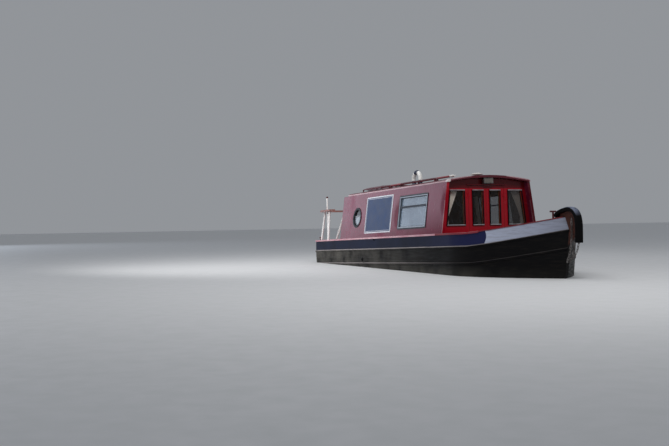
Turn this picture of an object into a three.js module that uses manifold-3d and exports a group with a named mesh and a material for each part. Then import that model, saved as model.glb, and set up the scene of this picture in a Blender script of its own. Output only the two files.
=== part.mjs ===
// A short steel canal narrowboat: a day boat with a well deck forward and a cruiser deck aft.
// Millimetres. +X towards the bow, +Y to port, +Z up. The origin is on the centreline, at the
// waterline, half-way along the hull.
import * as THREE from "three";
import { mergeVertices } from "three/addons/utils/BufferGeometryUtils.js";
import Module from "manifold-3d";

const wasm = await Module();
wasm.setup();

// Driving dimensions of the hull
const HALF_LENGTH = 3860;
const PLATE_HALF_BEAM = 1025; // over the side plating at the upper rubbing strake
const PLATE = 10; // thickness of the side plating
const STRAKE_OUT = 15; // how far a rubbing strake stands out
const STRAKE_HALF = 20; // half of a rubbing strake's height
const GUNWALE_Z = 600; // top of the gunwale amidships
const GUNWALE_THICK = 14;
const GUNWALE_WIDE = 152;
const UPPER_STRAKE_Z = 372;
const LOWER_STRAKE_Z = 111;
const BASE_TOP_Z = -465;
const BASE_THICK = 15;
const COUNTER_Z = 40; // underside of the side plating at the stern
const SWIM_X = -2000; // where the counter begins and the swim draws in
const POST_X = -3180; // stern post, where the two swim plates meet
const CORNER_R = 160; // rounded stern corners
const BOW_X = 2030; // where the sides begin to draw in to the stem
const BOW_POWER = 1.85; // fullness of the bow in plan
const SHEER_X = 2450; // where the gunwale begins to rise
const SHEER = 192; // how far it has risen at the stem
const SHEER_END_X = 3800;
const STEM_HALF = 15; // half the thickness of the stem bar
const DECK_SHARE = 0.3794; // share of the bow at which the fore deck begins
const BOW_SHARES = [0, 0.1, 0.24, DECK_SHARE, 0.5, 0.62, 0.73, 0.83, 0.92, 1];

// Driving dimensions of the cabin
const CABIN_BASE_HALF = 921.6; // outer face of a cabin side, at the gunwale
const TUMBLEHOME = THREE.MathUtils.degToRad(8.09);
const WALL = 45; // thickness of a cabin wall with its lining
const CABIN_AFT_X = -2656; // aft ends of the cabin sides
const REAR_BULKHEAD_X = -2400; // fore face of the rear bulkhead
const FRONT_BULKHEAD_X = 1530; // fore face of the front bulkhead
const CABIN_FORE_X = 1640; // fore ends of the cabin sides, which stand proud of the bulkhead
const EAVES_Z = 1455; // top of the cabin sides
const ROOF_CROWN_Z = 1569;
const ROOF_CAMBER = 70;
const ROOF_THICK = 40;
const ROOF_ARC_HALF = 770; // half-width of the cambered part of the roof
const ROOF_LIP_X = 1660;
const FLOOR_Z = -300;
const WELL_FLOOR_Z = 180;
const LOCKER_X = 2700; // aft face of the locker, at the fore end of the well deck
const SEAT = 0.3; // gap between pieces that rest on each other

const red = () => new THREE.MeshStandardMaterial({ color: 0x9c1a24, roughness: 0.35, metalness: 0.1 });
const bright = () => new THREE.MeshStandardMaterial({ color: 0xb00f1c, roughness: 0.35, metalness: 0.1 });
const navy = () => new THREE.MeshStandardMaterial({ color: 0x28324f, roughness: 0.4, metalness: 0.1 });
const black = () => new THREE.MeshStandardMaterial({ color: 0x1d1b1c, roughness: 0.6, metalness: 0.1 });
const white = () => new THREE.MeshStandardMaterial({ color: 0xe6e6e2, roughness: 0.4, metalness: 0.0 });
const rust = () => new THREE.MeshStandardMaterial({ color: 0x5c3a2c, roughness: 0.8, metalness: 0.2 });
const rubber = () => new THREE.MeshStandardMaterial({ color: 0x17181a, roughness: 0.85, metalness: 0.0 });
const wood = () => new THREE.MeshStandardMaterial({ color: 0x7a5236, roughness: 0.5, metalness: 0.0 });
const metal = () => new THREE.MeshStandardMaterial({ color: 0xa7a9aa, roughness: 0.35, metalness: 0.9 });
const glass = () => new THREE.MeshStandardMaterial({
  color: 0x9fb0b5, roughness: 0.05, metalness: 0.0, transparent: true, opacity: 0.4,
});

const point = (x, y, z) => new THREE.Vector3(x, y, z);
const flat = (x, y) => new THREE.Vector2(x, y);

// Geometry from points and triangles, turned so that its faces point outwards.
function closed(points, faces) {
  const volume = faces.reduce((sum, [a, b, c]) => sum + points[a].dot(points[b].clone().cross(points[c])), 0);
  const turned = volume < 0 ? faces.map(([a, b, c]) => [a, c, b]) : faces;
  const made = new THREE.BufferGeometry();
  const numbers = points.flatMap((p) => p.toArray());
  made.setAttribute("position", new THREE.Float32BufferAttribute(numbers, 3));
  made.setIndex(turned.flat());
  return made;
}

// A closed body through rings of points, each ring with as many points as the outline that caps it.
function loft(rings, outline) {
  const n = outline.length;
  const faces = [];
  for (let k = 0; k < rings.length - 1; k++) {
    for (let i = 0; i < n; i++) {
      const here = k * n + i;
      const next = k * n + ((i + 1) % n);
      faces.push([here, next, next + n], [here, next + n, here + n]);
    }
  }
  const last = (rings.length - 1) * n;
  const turn = Math.sign(THREE.ShapeUtils.area(outline));
  for (const [a, b, c] of THREE.ShapeUtils.triangulateShape(outline, [])) {
    const same = Math.sign(THREE.ShapeUtils.area([outline[a], outline[b], outline[c]])) === turn;
    const [p, q] = same ? [b, c] : [c, b];
    faces.push([a, q, p], [last + a, last + p, last + q]);
  }
  return closed(rings.flat(), faces);
}

// The geometry as a solid that can be joined and cut, with its shared vertices merged.
function solid(geometry) {
  const bare = new THREE.BufferGeometry();
  bare.setAttribute("position", geometry.getAttribute("position"));
  bare.setIndex(geometry.index);
  const merged = mergeVertices(bare, 1e-3);
  return new wasm.Manifold(
    new wasm.Mesh({
      numProp: 3,
      vertProperties: merged.attributes.position.array,
      triVerts: new Uint32Array(merged.index.array),
    }),
  );
}

function geometryOf(body) {
  const mesh = body.getMesh();
  const made = new THREE.BufferGeometry();
  made.setAttribute("position", new THREE.BufferAttribute(mesh.vertProperties, 3));
  made.setIndex(new THREE.BufferAttribute(mesh.triVerts, 1));
  return made;
}

const joined = (first, ...more) => geometryOf(more.reduce((sum, g) => sum.add(solid(g)), solid(first)));
const cutBy = (first, ...tools) =>
  geometryOf(tools.reduce((rest, g) => rest.subtract(solid(g)), solid(first)));
const keptIn = (first, second) => geometryOf(solid(first).intersect(solid(second)));

function block([x0, x1], [y0, y1], [z0, z1]) {
  const made = new THREE.BoxGeometry(x1 - x0, y1 - y0, z1 - z0);
  return made.translate((x0 + x1) / 2, (y0 + y1) / 2, (z0 + z1) / 2);
}

// An outline, or a shape with holes, pushed along local +Z.
function pushed(outline, depth) {
  const shape = outline instanceof THREE.Shape ? outline : new THREE.Shape(outline);
  return new THREE.ExtrudeGeometry(shape, { depth, bevelEnabled: false, curveSegments: 8 });
}

const planPrism = (outline, z0, z1) => pushed(outline, z1 - z0).translate(0, 0, z0);

// An outline in (y, z), pushed along X.
function crossPrism(outline, x0, x1) {
  const turn = new THREE.Matrix4().makeBasis(point(0, 1, 0), point(0, 0, 1), point(1, 0, 0));
  return pushed(outline, x1 - x0).applyMatrix4(turn).translate(x0, 0, 0);
}

// An outline in (x, z), pushed along Y.
function sidePrism(outline, y0, y1) {
  const turn = new THREE.Matrix4().makeBasis(point(1, 0, 0), point(0, 0, 1), point(0, -1, 0));
  return pushed(outline, y1 - y0).applyMatrix4(turn).translate(0, y1, 0);
}

function rod(from, to, radius, sides = 16) {
  const along = to.clone().sub(from);
  const made = new THREE.CylinderGeometry(radius, radius, along.length(), sides);
  const turn = new THREE.Quaternion().setFromUnitVectors(point(0, 1, 0), along.clone().normalize());
  const middle = from.clone().addScaledVector(along, 0.5);
  return made.applyQuaternion(turn).translate(middle.x, middle.y, middle.z);
}

// A round or flat bar along a smooth curve through the points.
function bar(points, section, steps) {
  const extrudePath = new THREE.CatmullRomCurve3(points, false, "centripetal");
  return new THREE.ExtrudeGeometry(new THREE.Shape(section), { steps, bevelEnabled: false, extrudePath });
}

function circle(radius, sides) {
  const at = (i) => (i / sides) * 2 * Math.PI;
  return Array.from({ length: sides }, (_, i) => flat(radius * Math.cos(at(i)), radius * Math.sin(at(i))));
}

const rectangle = (x0, x1, y0, y1) => [flat(x0, y0), flat(x1, y0), flat(x1, y1), flat(x0, y1)];

function roundedShape(x0, x1, y0, y1, radius) {
  const shape = new THREE.Shape();
  shape.moveTo(x0 + radius, y0);
  shape.lineTo(x1 - radius, y0);
  shape.absarc(x1 - radius, y0 + radius, radius, -Math.PI / 2, 0);
  shape.lineTo(x1, y1 - radius);
  shape.absarc(x1 - radius, y1 - radius, radius, 0, Math.PI / 2);
  shape.lineTo(x0 + radius, y1);
  shape.absarc(x0 + radius, y1 - radius, radius, Math.PI / 2, Math.PI);
  shape.lineTo(x0, y0 + radius);
  shape.absarc(x0 + radius, y0 + radius, radius, Math.PI, Math.PI * 1.5);
  return shape;
}

// A mirrored placement leaves a geometry inside out, so its triangles are turned back.
function placed(geometry, matrix) {
  const made = geometry.index ? geometry.toNonIndexed() : geometry.clone();
  made.applyMatrix4(matrix);
  if (matrix.determinant() < 0) {
    const position = made.getAttribute("position");
    for (let i = 0; i < position.count; i += 3) {
      const [b, c] = [1, 2].map((k) => point().fromBufferAttribute(position, i + k));
      position.setXYZ(i + 1, ...c.toArray());
      position.setXYZ(i + 2, ...b.toArray());
    }
  }
  return made;
}

const portOf = (geometry) => placed(geometry, new THREE.Matrix4().makeScale(1, -1, 1));

const boat = new THREE.Group();
boat.name = "narrowboat";

function add(name, geometry, material, parent = boat) {
  const mesh = new THREE.Mesh(geometry, material);
  mesh.name = name;
  parent.add(mesh);
  return mesh;
}

// Adds a starboard piece and its mirror image to port.
function addPair(name, geometry, material) {
  add(`${name}_starboard`, geometry, material());
  add(`${name}_port`, portOf(geometry), material());
}

const STERN_STUD = { x: -3790, y: -940 };

// A short column with a crossbar, for a mooring line.
function mooringStud(x, y, z, tall) {
  const column = rod(point(x, y, z - 4), point(x, y, z + tall + 4), 15, 16);
  const cross = rod(point(x, y - 52, z + tall), point(x, y + 52, z + tall), 13, 16);
  return joined(column, cross);
}

// Hull form

// Rise of the gunwale above its level amidships.
const sheerAt = (x) => SHEER * Math.max(0, (x - SHEER_X) / (SHEER_END_X - SHEER_X)) ** 1.45;

// Levels of the side plating, from the chine up: height, how far inboard of the upper strake the
// plating lies, how far forward it reaches at the stem, and whether the sheer lifts it.
const LEVELS = [
  { z: BASE_TOP_Z, inboard: 20, stemX: 3250, lift: 0 },
  { z: -330, inboard: 15, stemX: 3560, lift: 0.1 },
  { z: -150, inboard: 11, stemX: 3735, lift: 0.45 },
  { z: LOWER_STRAKE_Z - STRAKE_HALF, inboard: 5, stemX: 3805, lift: 1 },
  { z: LOWER_STRAKE_Z - STRAKE_HALF + 6, inboard: 5 - STRAKE_OUT, stemX: 3820, lift: 1 },
  { z: LOWER_STRAKE_Z + STRAKE_HALF - 6, inboard: 5 - STRAKE_OUT, stemX: 3822, lift: 1 },
  { z: LOWER_STRAKE_Z + STRAKE_HALF, inboard: 5, stemX: 3811, lift: 1 },
  { z: UPPER_STRAKE_Z - STRAKE_HALF, inboard: 0, stemX: HALF_LENGTH, lift: 1 },
  { z: UPPER_STRAKE_Z - STRAKE_HALF + 6, inboard: -STRAKE_OUT, stemX: HALF_LENGTH + 15, lift: 1 },
  { z: UPPER_STRAKE_Z + STRAKE_HALF - 6, inboard: -STRAKE_OUT, stemX: HALF_LENGTH + 13, lift: 1 },
  { z: UPPER_STRAKE_Z + STRAKE_HALF, inboard: 0, stemX: HALF_LENGTH - 2, lift: 1 },
  { z: GUNWALE_Z - GUNWALE_THICK, inboard: 4, stemX: 3780, lift: 1 },
];
const INNER_LEVELS = [11, 10, 7, 6, 3, 2, 1, 0];

// Half-width of the plating at a level, for a share t of the way from the bow's start to the stem.
const bowHalf = (inboard, t) =>
  STEM_HALF + (PLATE_HALF_BEAM - inboard - STEM_HALF) * (1 - t ** BOW_POWER);

// Stations of the starboard side, from the middle of the transom round to the stem. Each has a plan
// position, an outward direction, and for the bow its share t.
function hullStations() {
  const aft = [
    { x: -HALF_LENGTH, y: 0, angle: 180 },
    { x: -HALF_LENGTH, y: CORNER_R - PLATE_HALF_BEAM, angle: 180 },
  ];
  for (const angle of [162, 144, 126, 108]) aft.push({ corner: angle, angle });
  const stations = aft.map((s) => {
    const a = THREE.MathUtils.degToRad(s.angle);
    const out = flat(Math.cos(a), -Math.sin(a));
    if (!s.corner) return { plan: flat(s.x, s.y), out, bottom: COUNTER_Z };
    const centre = flat(CORNER_R - HALF_LENGTH, CORNER_R - PLATE_HALF_BEAM);
    return { plan: centre.addScaledVector(out, CORNER_R), out, bottom: COUNTER_Z };
  });
  const straight = { out: flat(0, -1) };
  for (const x of [CORNER_R - HALF_LENGTH, SWIM_X - 12])
    stations.push({ ...straight, plan: flat(x, -PLATE_HALF_BEAM), bottom: COUNTER_Z });
  stations.push({ ...straight, plan: flat(SWIM_X, -PLATE_HALF_BEAM), bottom: null });
  for (const t of BOW_SHARES) stations.push({ t, bottom: null });
  return stations;
}

// A point of the plating at a station and level, moved inwards by a thickness.
function platePoint(station, level, inwards) {
  if (station.t === undefined) {
    const lowest = station.bottom === null ? level.z : station.bottom + LEVELS.indexOf(level) * 3;
    const z = Math.max(level.z, lowest);
    const inboard = level.z < station.bottom ? LEVELS[3].inboard : level.inboard;
    const at = station.plan.clone().addScaledVector(station.out, -inboard - inwards);
    return point(at.x, Math.min(at.y, 0), z);
  }
  const reach = level.stemX - BOW_X;
  const x = BOW_X + reach * station.t;
  const y = -bowHalf(level.inboard, station.t);
  const slope = ((PLATE_HALF_BEAM - STEM_HALF) * BOW_POWER * station.t ** (BOW_POWER - 1)) / reach;
  const out = flat(slope, -1).normalize();
  const at = flat(x, y).addScaledVector(out, -inwards);
  return point(at.x, Math.min(at.y, -STEM_HALF), level.z + level.lift * sheerAt(at.x));
}

function hullSide() {
  const outline = [
    ...LEVELS.map((level) => flat(level.inboard, level.z)),
    ...INNER_LEVELS.map((k) => flat(LEVELS[k].inboard + PLATE, LEVELS[k].z)),
  ];
  outline.forEach((p, i) => (p.x += i >= LEVELS.length ? 40 : 0)); // clear of the strakes, for the caps
  const rings = hullStations().map((station) => [
    ...LEVELS.map((level) => platePoint(station, level, 0)),
    ...INNER_LEVELS.map((k) => platePoint(station, LEVELS[k], PLATE + Math.min(LEVELS[k].inboard, 0))),
  ]);
  return loft(rings, outline);
}

// The gunwale: a plate over the top of the hull side, from the transom's middle to the fore deck, with
// a mooring stud on the stern corner.
function gunwale() {
  const top = LEVELS[LEVELS.length - 1];
  const rings = [];
  const stations = hullStations().filter((s) => s.t === undefined || s.t <= DECK_SHARE);
  for (const station of stations) {
    const edge = platePoint(station, top, 0);
    const near = platePoint(station, top, 10);
    const out = edge.clone().sub(near).setZ(0).normalize();
    if (station.plan && station.plan.y === 0) out.set(-1, 0, 0);
    const at = (distance, z) => edge.clone().addScaledVector(out, distance).setZ(edge.z + z);
    rings.push([at(14, SEAT), at(14, GUNWALE_THICK + 4), at(8, GUNWALE_THICK + 4), at(4, GUNWALE_THICK),
      at(-GUNWALE_WIDE, GUNWALE_THICK), at(-GUNWALE_WIDE, SEAT)]);
  }
  const outline = [
    flat(14, 0), flat(14, 18), flat(8, 18), flat(4, 14), flat(-GUNWALE_WIDE, 14), flat(-GUNWALE_WIDE, 0)];
  return joined(loft(rings, outline), mooringStud(STERN_STUD.x, STERN_STUD.y, GUNWALE_Z, 68));
}

// Plan outlines, starboard half from aft to fore, mirrored to close.
const mirroredPlan = (half) => [...half, ...half.slice().reverse().map((p) => flat(p.x, -p.y))];

const SWIM_SHARES = [0, 0.2, 0.38, 0.54, 0.68, 0.8, 0.9, 1];
const POST_HALF = 20;
const swimHalf = (t) => POST_HALF + (PLATE_HALF_BEAM - 22 - POST_HALF) * (1 - t ** 1.9);
const swimPlan = (inwards) =>
  SWIM_SHARES.map((t) => {
    const x = t ? SWIM_X + (POST_X - SWIM_X) * t + inwards * t : SWIM_X - 12 - SEAT;
    return flat(x, -Math.max(swimHalf(t) - inwards, 4));
  });

function basePlate() {
  const chine = LEVELS[0];
  const aft = swimPlan(0).reverse().map((p) => flat(p.x, p.y - 18));
  const fore = BOW_SHARES.map((t) =>
    flat(BOW_X + (chine.stemX - BOW_X) * t + 20 * t, -bowHalf(chine.inboard, t) - 18));
  return planPrism(mirroredPlan([...aft, ...fore]), BASE_TOP_Z - BASE_THICK, BASE_TOP_Z - SEAT);
}

// The swim: two plates that draw in to the stern post, the counter plate over them, the rudder tube
// and the stern tube.
const RUDDER_X = -3590;
const RUDDER_TUBE_R = 36;
const STOCK_R = 20;
const BEARING_SIDES = 48; // a bore with this many sides clears its shaft all round
const SHAFT_Z = -215;
const SHAFT_R = 17;
const BEARING_GAP = 0.5;
const bearing = (from, to, radius) => rod(from, to, radius + BEARING_GAP, BEARING_SIDES);

function swim() {
  const outer = mirroredPlan(swimPlan(0));
  const inner = mirroredPlan(swimPlan(PLATE));
  const walls = cutBy(
    planPrism(outer, BASE_TOP_Z, COUNTER_Z), planPrism(inner, BASE_TOP_Z - 5, COUNTER_Z + 5));
  const rim = hullStations().filter((s) => s.bottom === COUNTER_Z).map((s) => {
    const at = s.plan.clone().addScaledVector(s.out, -PLATE - 6 - SEAT);
    return flat(at.x, Math.min(at.y, 0));
  });
  rim[rim.length - 1].x = SWIM_X - 12 - SEAT;
  const edge = mirroredPlan(rim.slice(1));
  const plate = cutBy(
    planPrism(edge, COUNTER_Z, COUNTER_Z + 10), planPrism(inner, COUNTER_Z - 20, COUNTER_Z + 20));
  const top = GUNWALE_Z - GUNWALE_THICK - 2;
  const tube = rod(point(RUDDER_X, 0, COUNTER_Z), point(RUDDER_X, 0, top), RUDDER_TUBE_R, 24);
  const tubeBore = bearing(point(RUDDER_X, 0, COUNTER_Z - 40), point(RUDDER_X, 0, top + 40), STOCK_R);
  const sternTube = rod(point(POST_X - 45, 0, SHAFT_Z), point(POST_X + 240, 0, SHAFT_Z), SHAFT_R + 17, 20);
  const shaftBore = bearing(point(POST_X - 90, 0, SHAFT_Z), point(POST_X + 300, 0, SHAFT_Z), SHAFT_R);
  return cutBy(joined(walls, plate, tube, sternTube), tubeBore, shaftBore);
}

const SKEG_AFT_X = RUDDER_X - 55;
const SKEG_TOP_Z = BASE_TOP_Z + 24;

function skeg() {
  const arm = block([SKEG_AFT_X, POST_X - SEAT], [-38, 38], [BASE_TOP_Z - BASE_THICK, SKEG_TOP_Z]);
  const cup = rod(point(RUDDER_X, 0, SKEG_TOP_Z - 8), point(RUDDER_X, 0, SKEG_TOP_Z + 16), 38, 24);
  const socket = bearing(point(RUDDER_X, 0, SKEG_TOP_Z - 14), point(RUDDER_X, 0, SKEG_TOP_Z + 30), STOCK_R);
  return cutBy(joined(arm, cup), socket);
}

const STOCK_TOP_Z = 662;
const BLADE_FORE = 170;
const BLADE_AFT = 262;

function rudder() {
  const stock = rod(point(RUDDER_X, 0, SKEG_TOP_Z - 13.5), point(RUDDER_X, 0, STOCK_TOP_Z), STOCK_R, 20);
  const outline = [
    flat(RUDDER_X - BLADE_AFT, -395),
    flat(RUDDER_X + BLADE_FORE - 30, -395),
    flat(RUDDER_X + BLADE_FORE, -365),
    flat(RUDDER_X + BLADE_FORE, -60),
    flat(RUDDER_X + BLADE_FORE - 60, 8),
    flat(RUDDER_X - BLADE_AFT + 40, 8),
    flat(RUDDER_X - BLADE_AFT, -60),
  ];
  return joined(stock, sidePrism(outline, -6, 6));
}

// Swan neck and arm of the tiller, and the turned grip on its end.
const TILLER = [
  point(RUDDER_X, 0, STOCK_TOP_Z + SEAT),
  point(RUDDER_X, 0, 860),
  point(RUDDER_X - 6, 0, 1060),
  point(RUDDER_X + 60, 0, 1240),
  point(RUDDER_X + 230, 0, 1345),
  point(RUDDER_X + 440, 0, 1385),
];

function tiller() {
  const arm = bar(TILLER, circle(21, 12), 22);
  const collar = rod(point(RUDDER_X, 0, STOCK_TOP_Z + SEAT), point(RUDDER_X, 0, STOCK_TOP_Z + 90), 30, 20);
  return joined(arm, collar);
}

function tillerGrip() {
  const along = new THREE.CatmullRomCurve3(TILLER, false, "centripetal").getTangent(1);
  const from = TILLER[TILLER.length - 1].clone().addScaledVector(along, SEAT);
  const profile = [[0, 0], [16, 0], [16, 10], [21, 40], [24, 130], [19, 210], [23, 262], [17, 288], [0, 290]];
  const made = new THREE.LatheGeometry(profile.map(([r, z]) => flat(r, z)), 16);
  const turn = new THREE.Quaternion().setFromUnitVectors(point(0, 1, 0), along);
  return made.applyQuaternion(turn).translate(from.x, from.y, from.z);
}

// Three broad blades on a boss, with the shaft that runs into the stern tube.
const PROP_X = -3310;
const PROP_R = 190;

function propeller() {
  const shaft = rod(point(PROP_X - 30, 0, SHAFT_Z), point(POST_X + 250, 0, SHAFT_Z), SHAFT_R, 16);
  const bossProfile = [[0, -58], [18, -52], [32, -30], [36, 0], [34, 40], [26, 48], [0, 48]];
  const boss = new THREE.LatheGeometry(bossProfile.map(([r, z]) => flat(r, z)), 20);
  boss.rotateZ(-Math.PI / 2).translate(PROP_X, 0, SHAFT_Z);
  const shape = new THREE.Shape();
  shape.moveTo(-14, 20);
  shape.bezierCurveTo(-70, 70, -78, PROP_R - 10, 0, PROP_R);
  shape.bezierCurveTo(78, PROP_R - 10, 70, 70, 14, 20);
  const blades = [90, 210, 330].map((angle) => {
    const blade = pushed(shape, 9).translate(0, 0, -4.5);
    blade.rotateY(THREE.MathUtils.degToRad(62)); // pitch of the blade
    return blade.rotateX(THREE.MathUtils.degToRad(angle)).translate(PROP_X, 0, SHAFT_Z);
  });
  return joined(boss, shaft, ...blades);
}

// The stem bar between the two sides, from the forefoot up to the deck.
const STEM_PROUD = [20, 22, 26, 40, 56, 80, 84, 24]; // at each level below, from the forefoot up

function stemPost() {
  const levels = LEVELS.filter((level) => level.inboard >= 0);
  const edge = levels.map((level) => flat(level.stemX, level.z + level.lift * sheerAt(level.stemX)));
  edge[0].y += SEAT;
  edge[edge.length - 1].y += 10;
  const back = edge.slice().reverse().map((p) => flat(Math.min(p.x - 30, STEM_BACK_X + 40), p.y));
  back[0].x = STEM_BACK_X + 1;
  back[1].x = STEM_BACK_X + 60;
  const front = edge.map((p, i) => flat(p.x + STEM_PROUD[i], p.y));
  const [y0, y1] = [SEAT - STEM_HALF, STEM_HALF - SEAT];
  return joined(sidePrism([...front, ...back], y0, y1), sidePrism(stemHeadOutline(), y0, y1));
}

// The head of the stem in (x, z): a plate that stands on the fore deck, fills the bend of the fender
// and runs back to the stem bar below it.
const HEAD_AFT_X = 3650;
const HEAD_LOW_Z = 560;

function stemHeadOutline() {
  const curve = fenderCurve();
  const seat = FENDER_DEEP / 2 + SEAT;
  const along = Array.from({ length: FENDER_STEPS + 1 }, (_, i) => i / FENDER_STEPS);
  const under = along.map((share) => {
    const [at, way] = [curve.getPointAt(share), curve.getTangentAt(share)];
    return flat(at.x + way.z * seat, at.z - way.x * seat);
  }).filter((p) => p.x > HEAD_AFT_X && p.y > HEAD_LOW_Z);
  return [
    flat(HEAD_AFT_X, under[0].y - 6),
    ...under,
    flat(HALF_LENGTH + 10, 380),
    flat(STEM_BACK_X + 60, 600),
    flat(STEM_BACK_X + 20, deckZ(STEM_BACK_X) - 6),
    flat(STEM_BACK_X + 1, deckZ(STEM_BACK_X) + SEAT),
    flat(HEAD_AFT_X, deckZ(HEAD_AFT_X) + SEAT),
  ];
}

// Fore deck over the locker, with the hatch opening, a coaming strip and the mooring stud.
const LID_X = [2815, 3215];
const LID_HALF = 270;
const LID_RIM = 22;
const STUD_X = 3450;
const FENDER_FOOT_Z = 776.2;

const deckStations = BOW_SHARES.filter((t) => t >= DECK_SHARE)
  .map((t) => BOW_X + (LEVELS[LEVELS.length - 1].stemX - BOW_X) * t);

// Height of the deck's top: straight between the hull's stations, as the plating is.
function deckZ(x) {
  const k = deckStations.findIndex((at, i) => i > 0 && x <= at + 0.01);
  const [x0, x1] = [deckStations[k - 1], deckStations[k]];
  return GUNWALE_Z + THREE.MathUtils.mapLinear(x, x0, x1, sheerAt(x0), sheerAt(x1));
}

const STEM_BACK_X = 3746; // fore edge of the deck, behind the stem bar

function foreDeck() {
  const top = LEVELS[LEVELS.length - 1];
  const halves = BOW_SHARES.filter((t) => t >= DECK_SHARE).map((t) => bowHalf(top.inboard, t) + 12);
  const halfAt = (x) => {
    const k = deckStations.findIndex((at, i) => i > 0 && x <= at + 0.01);
    return THREE.MathUtils.mapLinear(x, deckStations[k - 1], deckStations[k], halves[k - 1], halves[k]);
  };
  const xs = [...deckStations.filter((x) => x < STEM_BACK_X), STEM_BACK_X];
  xs[0] += 6; // clear of the gunwales' ends
  const rings = xs.map((x) => {
    const [half, z] = [halfAt(x), deckZ(x)];
    const under = z - GUNWALE_THICK + SEAT;
    return [point(x, -half, under), point(x, half, under), point(x, half, z), point(x, -half, z)];
  });
  const deck = loft(rings, rectangle(-1, 1, 0, 1));
  const hole = block(
    [LID_X[0] + LID_RIM, LID_X[1] - LID_RIM], [LID_RIM - LID_HALF, LID_HALF - LID_RIM], [400, 900]);
  const foot = block([3540, 3590], [-50, 50], [deckZ(3540) - 6, FENDER_FOOT_Z]);
  return joined(cutBy(deck, hole), mooringStud(STUD_X, 0, deckZ(STUD_X), 150), foot);
}

// The lid lies on the deck round its opening and follows its rise.
function lockerLid() {
  const xs = [LID_X[0], ...deckStations.filter((x) => x > LID_X[0] && x < LID_X[1]), LID_X[1]];
  const rings = xs.map((x) => [point(x, -LID_HALF, deckZ(x) + 0.6), point(x, LID_HALF, deckZ(x) + 0.6),
    point(x, LID_HALF, deckZ(x) + 10), point(x, -LID_HALF, deckZ(x) + 10)]);
  return loft(rings, rectangle(-1, 1, 0, 1));
}

// The well deck's floor and the bulkhead that closes the locker.
function wellDeck() {
  const half = (x, z) => {
    const level = z > WELL_FLOOR_Z ? { ...LEVELS[7], inboard: 6 } : LEVELS[2];
    const t = Math.max(0, (x - BOW_X) / (level.stemX - BOW_X));
    return bowHalf(level.inboard, t) - PLATE - 14;
  };
  const xs = [FRONT_BULKHEAD_X + SEAT, BOW_X, 2250, 2480, LOCKER_X + 12];
  const rim = xs.map((x) => flat(x, -half(x, WELL_FLOOR_Z)));
  const floor = planPrism(mirroredPlan(rim), WELL_FLOOR_Z - 12, WELL_FLOOR_Z);
  const wallHalf = half(LOCKER_X + 12, 500) - 20;
  const wall = block([LOCKER_X, LOCKER_X + 12], [-wallHalf, wallHalf],
    [WELL_FLOOR_Z - 6, GUNWALE_Z - GUNWALE_THICK - 1]);
  return joined(floor, wall);
}

// Stern deck with its hatch opening and two mooring studs.
const HATCH_X = [-3140, -2600];
const HATCH_HALF = 330;

function sternDeck() {
  const rim = hullStations().filter((s) => s.bottom === COUNTER_Z).slice(1).map((s) => {
    const at = s.plan.clone().addScaledVector(s.out, -GUNWALE_WIDE - 4 - SEAT);
    return flat(at.x, at.y);
  });
  rim[rim.length - 1].x = REAR_BULKHEAD_X - WALL - SEAT;
  const deck = planPrism(mirroredPlan(rim), GUNWALE_Z - GUNWALE_THICK + SEAT, GUNWALE_Z);
  const hole = block([HATCH_X[0] + 24, HATCH_X[1] - 24], [24 - HATCH_HALF, HATCH_HALF - 24], [560, 640]);
  const stockHole = rod(point(RUDDER_X, 0, 560), point(RUDDER_X, 0, 640), STOCK_R + 5, 24);
  return cutBy(deck, hole, stockHole);
}

const engineHatch = () => block(HATCH_X, [-HATCH_HALF, HATCH_HALF], [GUNWALE_Z + 0.6, GUNWALE_Z + 12]);

function engine() {
  const body = block([-2905, -2490], [-210, 210], [-250, 260]);
  const feet = [-180, 180].map((y) => block([-2885, -2510], [y - 30, y + 30], [BASE_TOP_Z + SEAT, -240]));
  return joined(body, ...feet);
}

function cabinFloor() {
  const rim = [
    flat(REAR_BULKHEAD_X + SEAT, -840), flat(SWIM_X + 5, -990), flat(0, -PLATE_HALF_BEAM + 26.5),
    flat(FRONT_BULKHEAD_X - WALL - SEAT, -PLATE_HALF_BEAM + 26.5)];
  const boards = planPrism(mirroredPlan(rim), FLOOR_Z - 34, FLOOR_Z);
  const bearers = [-1800, -1150, -500, 150, 800, 1420].map((x) =>
    block([x - 25, x + 25], [-880, 880], [BASE_TOP_Z + SEAT, FLOOR_Z - 30]));
  return joined(boards, ...bearers);
}

// Cabin

const slopeDown = (z) => (z - GUNWALE_Z) / Math.cos(TUMBLEHOME); // height above the gunwale, along a side
const sideFaceY = (z) => CABIN_BASE_HALF - (z - GUNWALE_Z) * Math.tan(TUMBLEHOME);

// Placement of the starboard cabin side: local x along the boat, y up the side, z out of it, with
// the side's outer face at z = 0.
const onSide = new THREE.Matrix4().makeBasis(
  point(1, 0, 0),
  point(0, Math.sin(TUMBLEHOME), Math.cos(TUMBLEHOME)),
  point(0, -Math.cos(TUMBLEHOME), Math.sin(TUMBLEHOME)),
).setPosition(0, -CABIN_BASE_HALF, GUNWALE_Z);

const WINDOW_X = [-62, 1032];
const WINDOW_UP = [slopeDown(718), slopeDown(1319)];
const FRAME_FLANGE = 26;
const FRAME_BAR = 14;
const FRAME_PROUD = 7;
const TRANSOM_UP = slopeDown(1115);
const PORT_X = -1893;
const PORT_UP = slopeDown(1007);
const PORT_R = 195;
const TRACK_UP = WINDOW_UP[1] + 12;

function holed(shape, ...holes) {
  holes.forEach((hole) => shape.holes.push(hole instanceof THREE.Shape ? hole : new THREE.Path(hole)));
  return shape;
}

const windowShape = (inset, radius) =>
  roundedShape(WINDOW_X[0] + inset, WINDOW_X[1] - inset, WINDOW_UP[0] + inset, WINDOW_UP[1] - inset, radius);
const portShape = (radius) => circle(radius, 36).map((p) => flat(p.x + PORT_X, p.y + PORT_UP));

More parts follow.
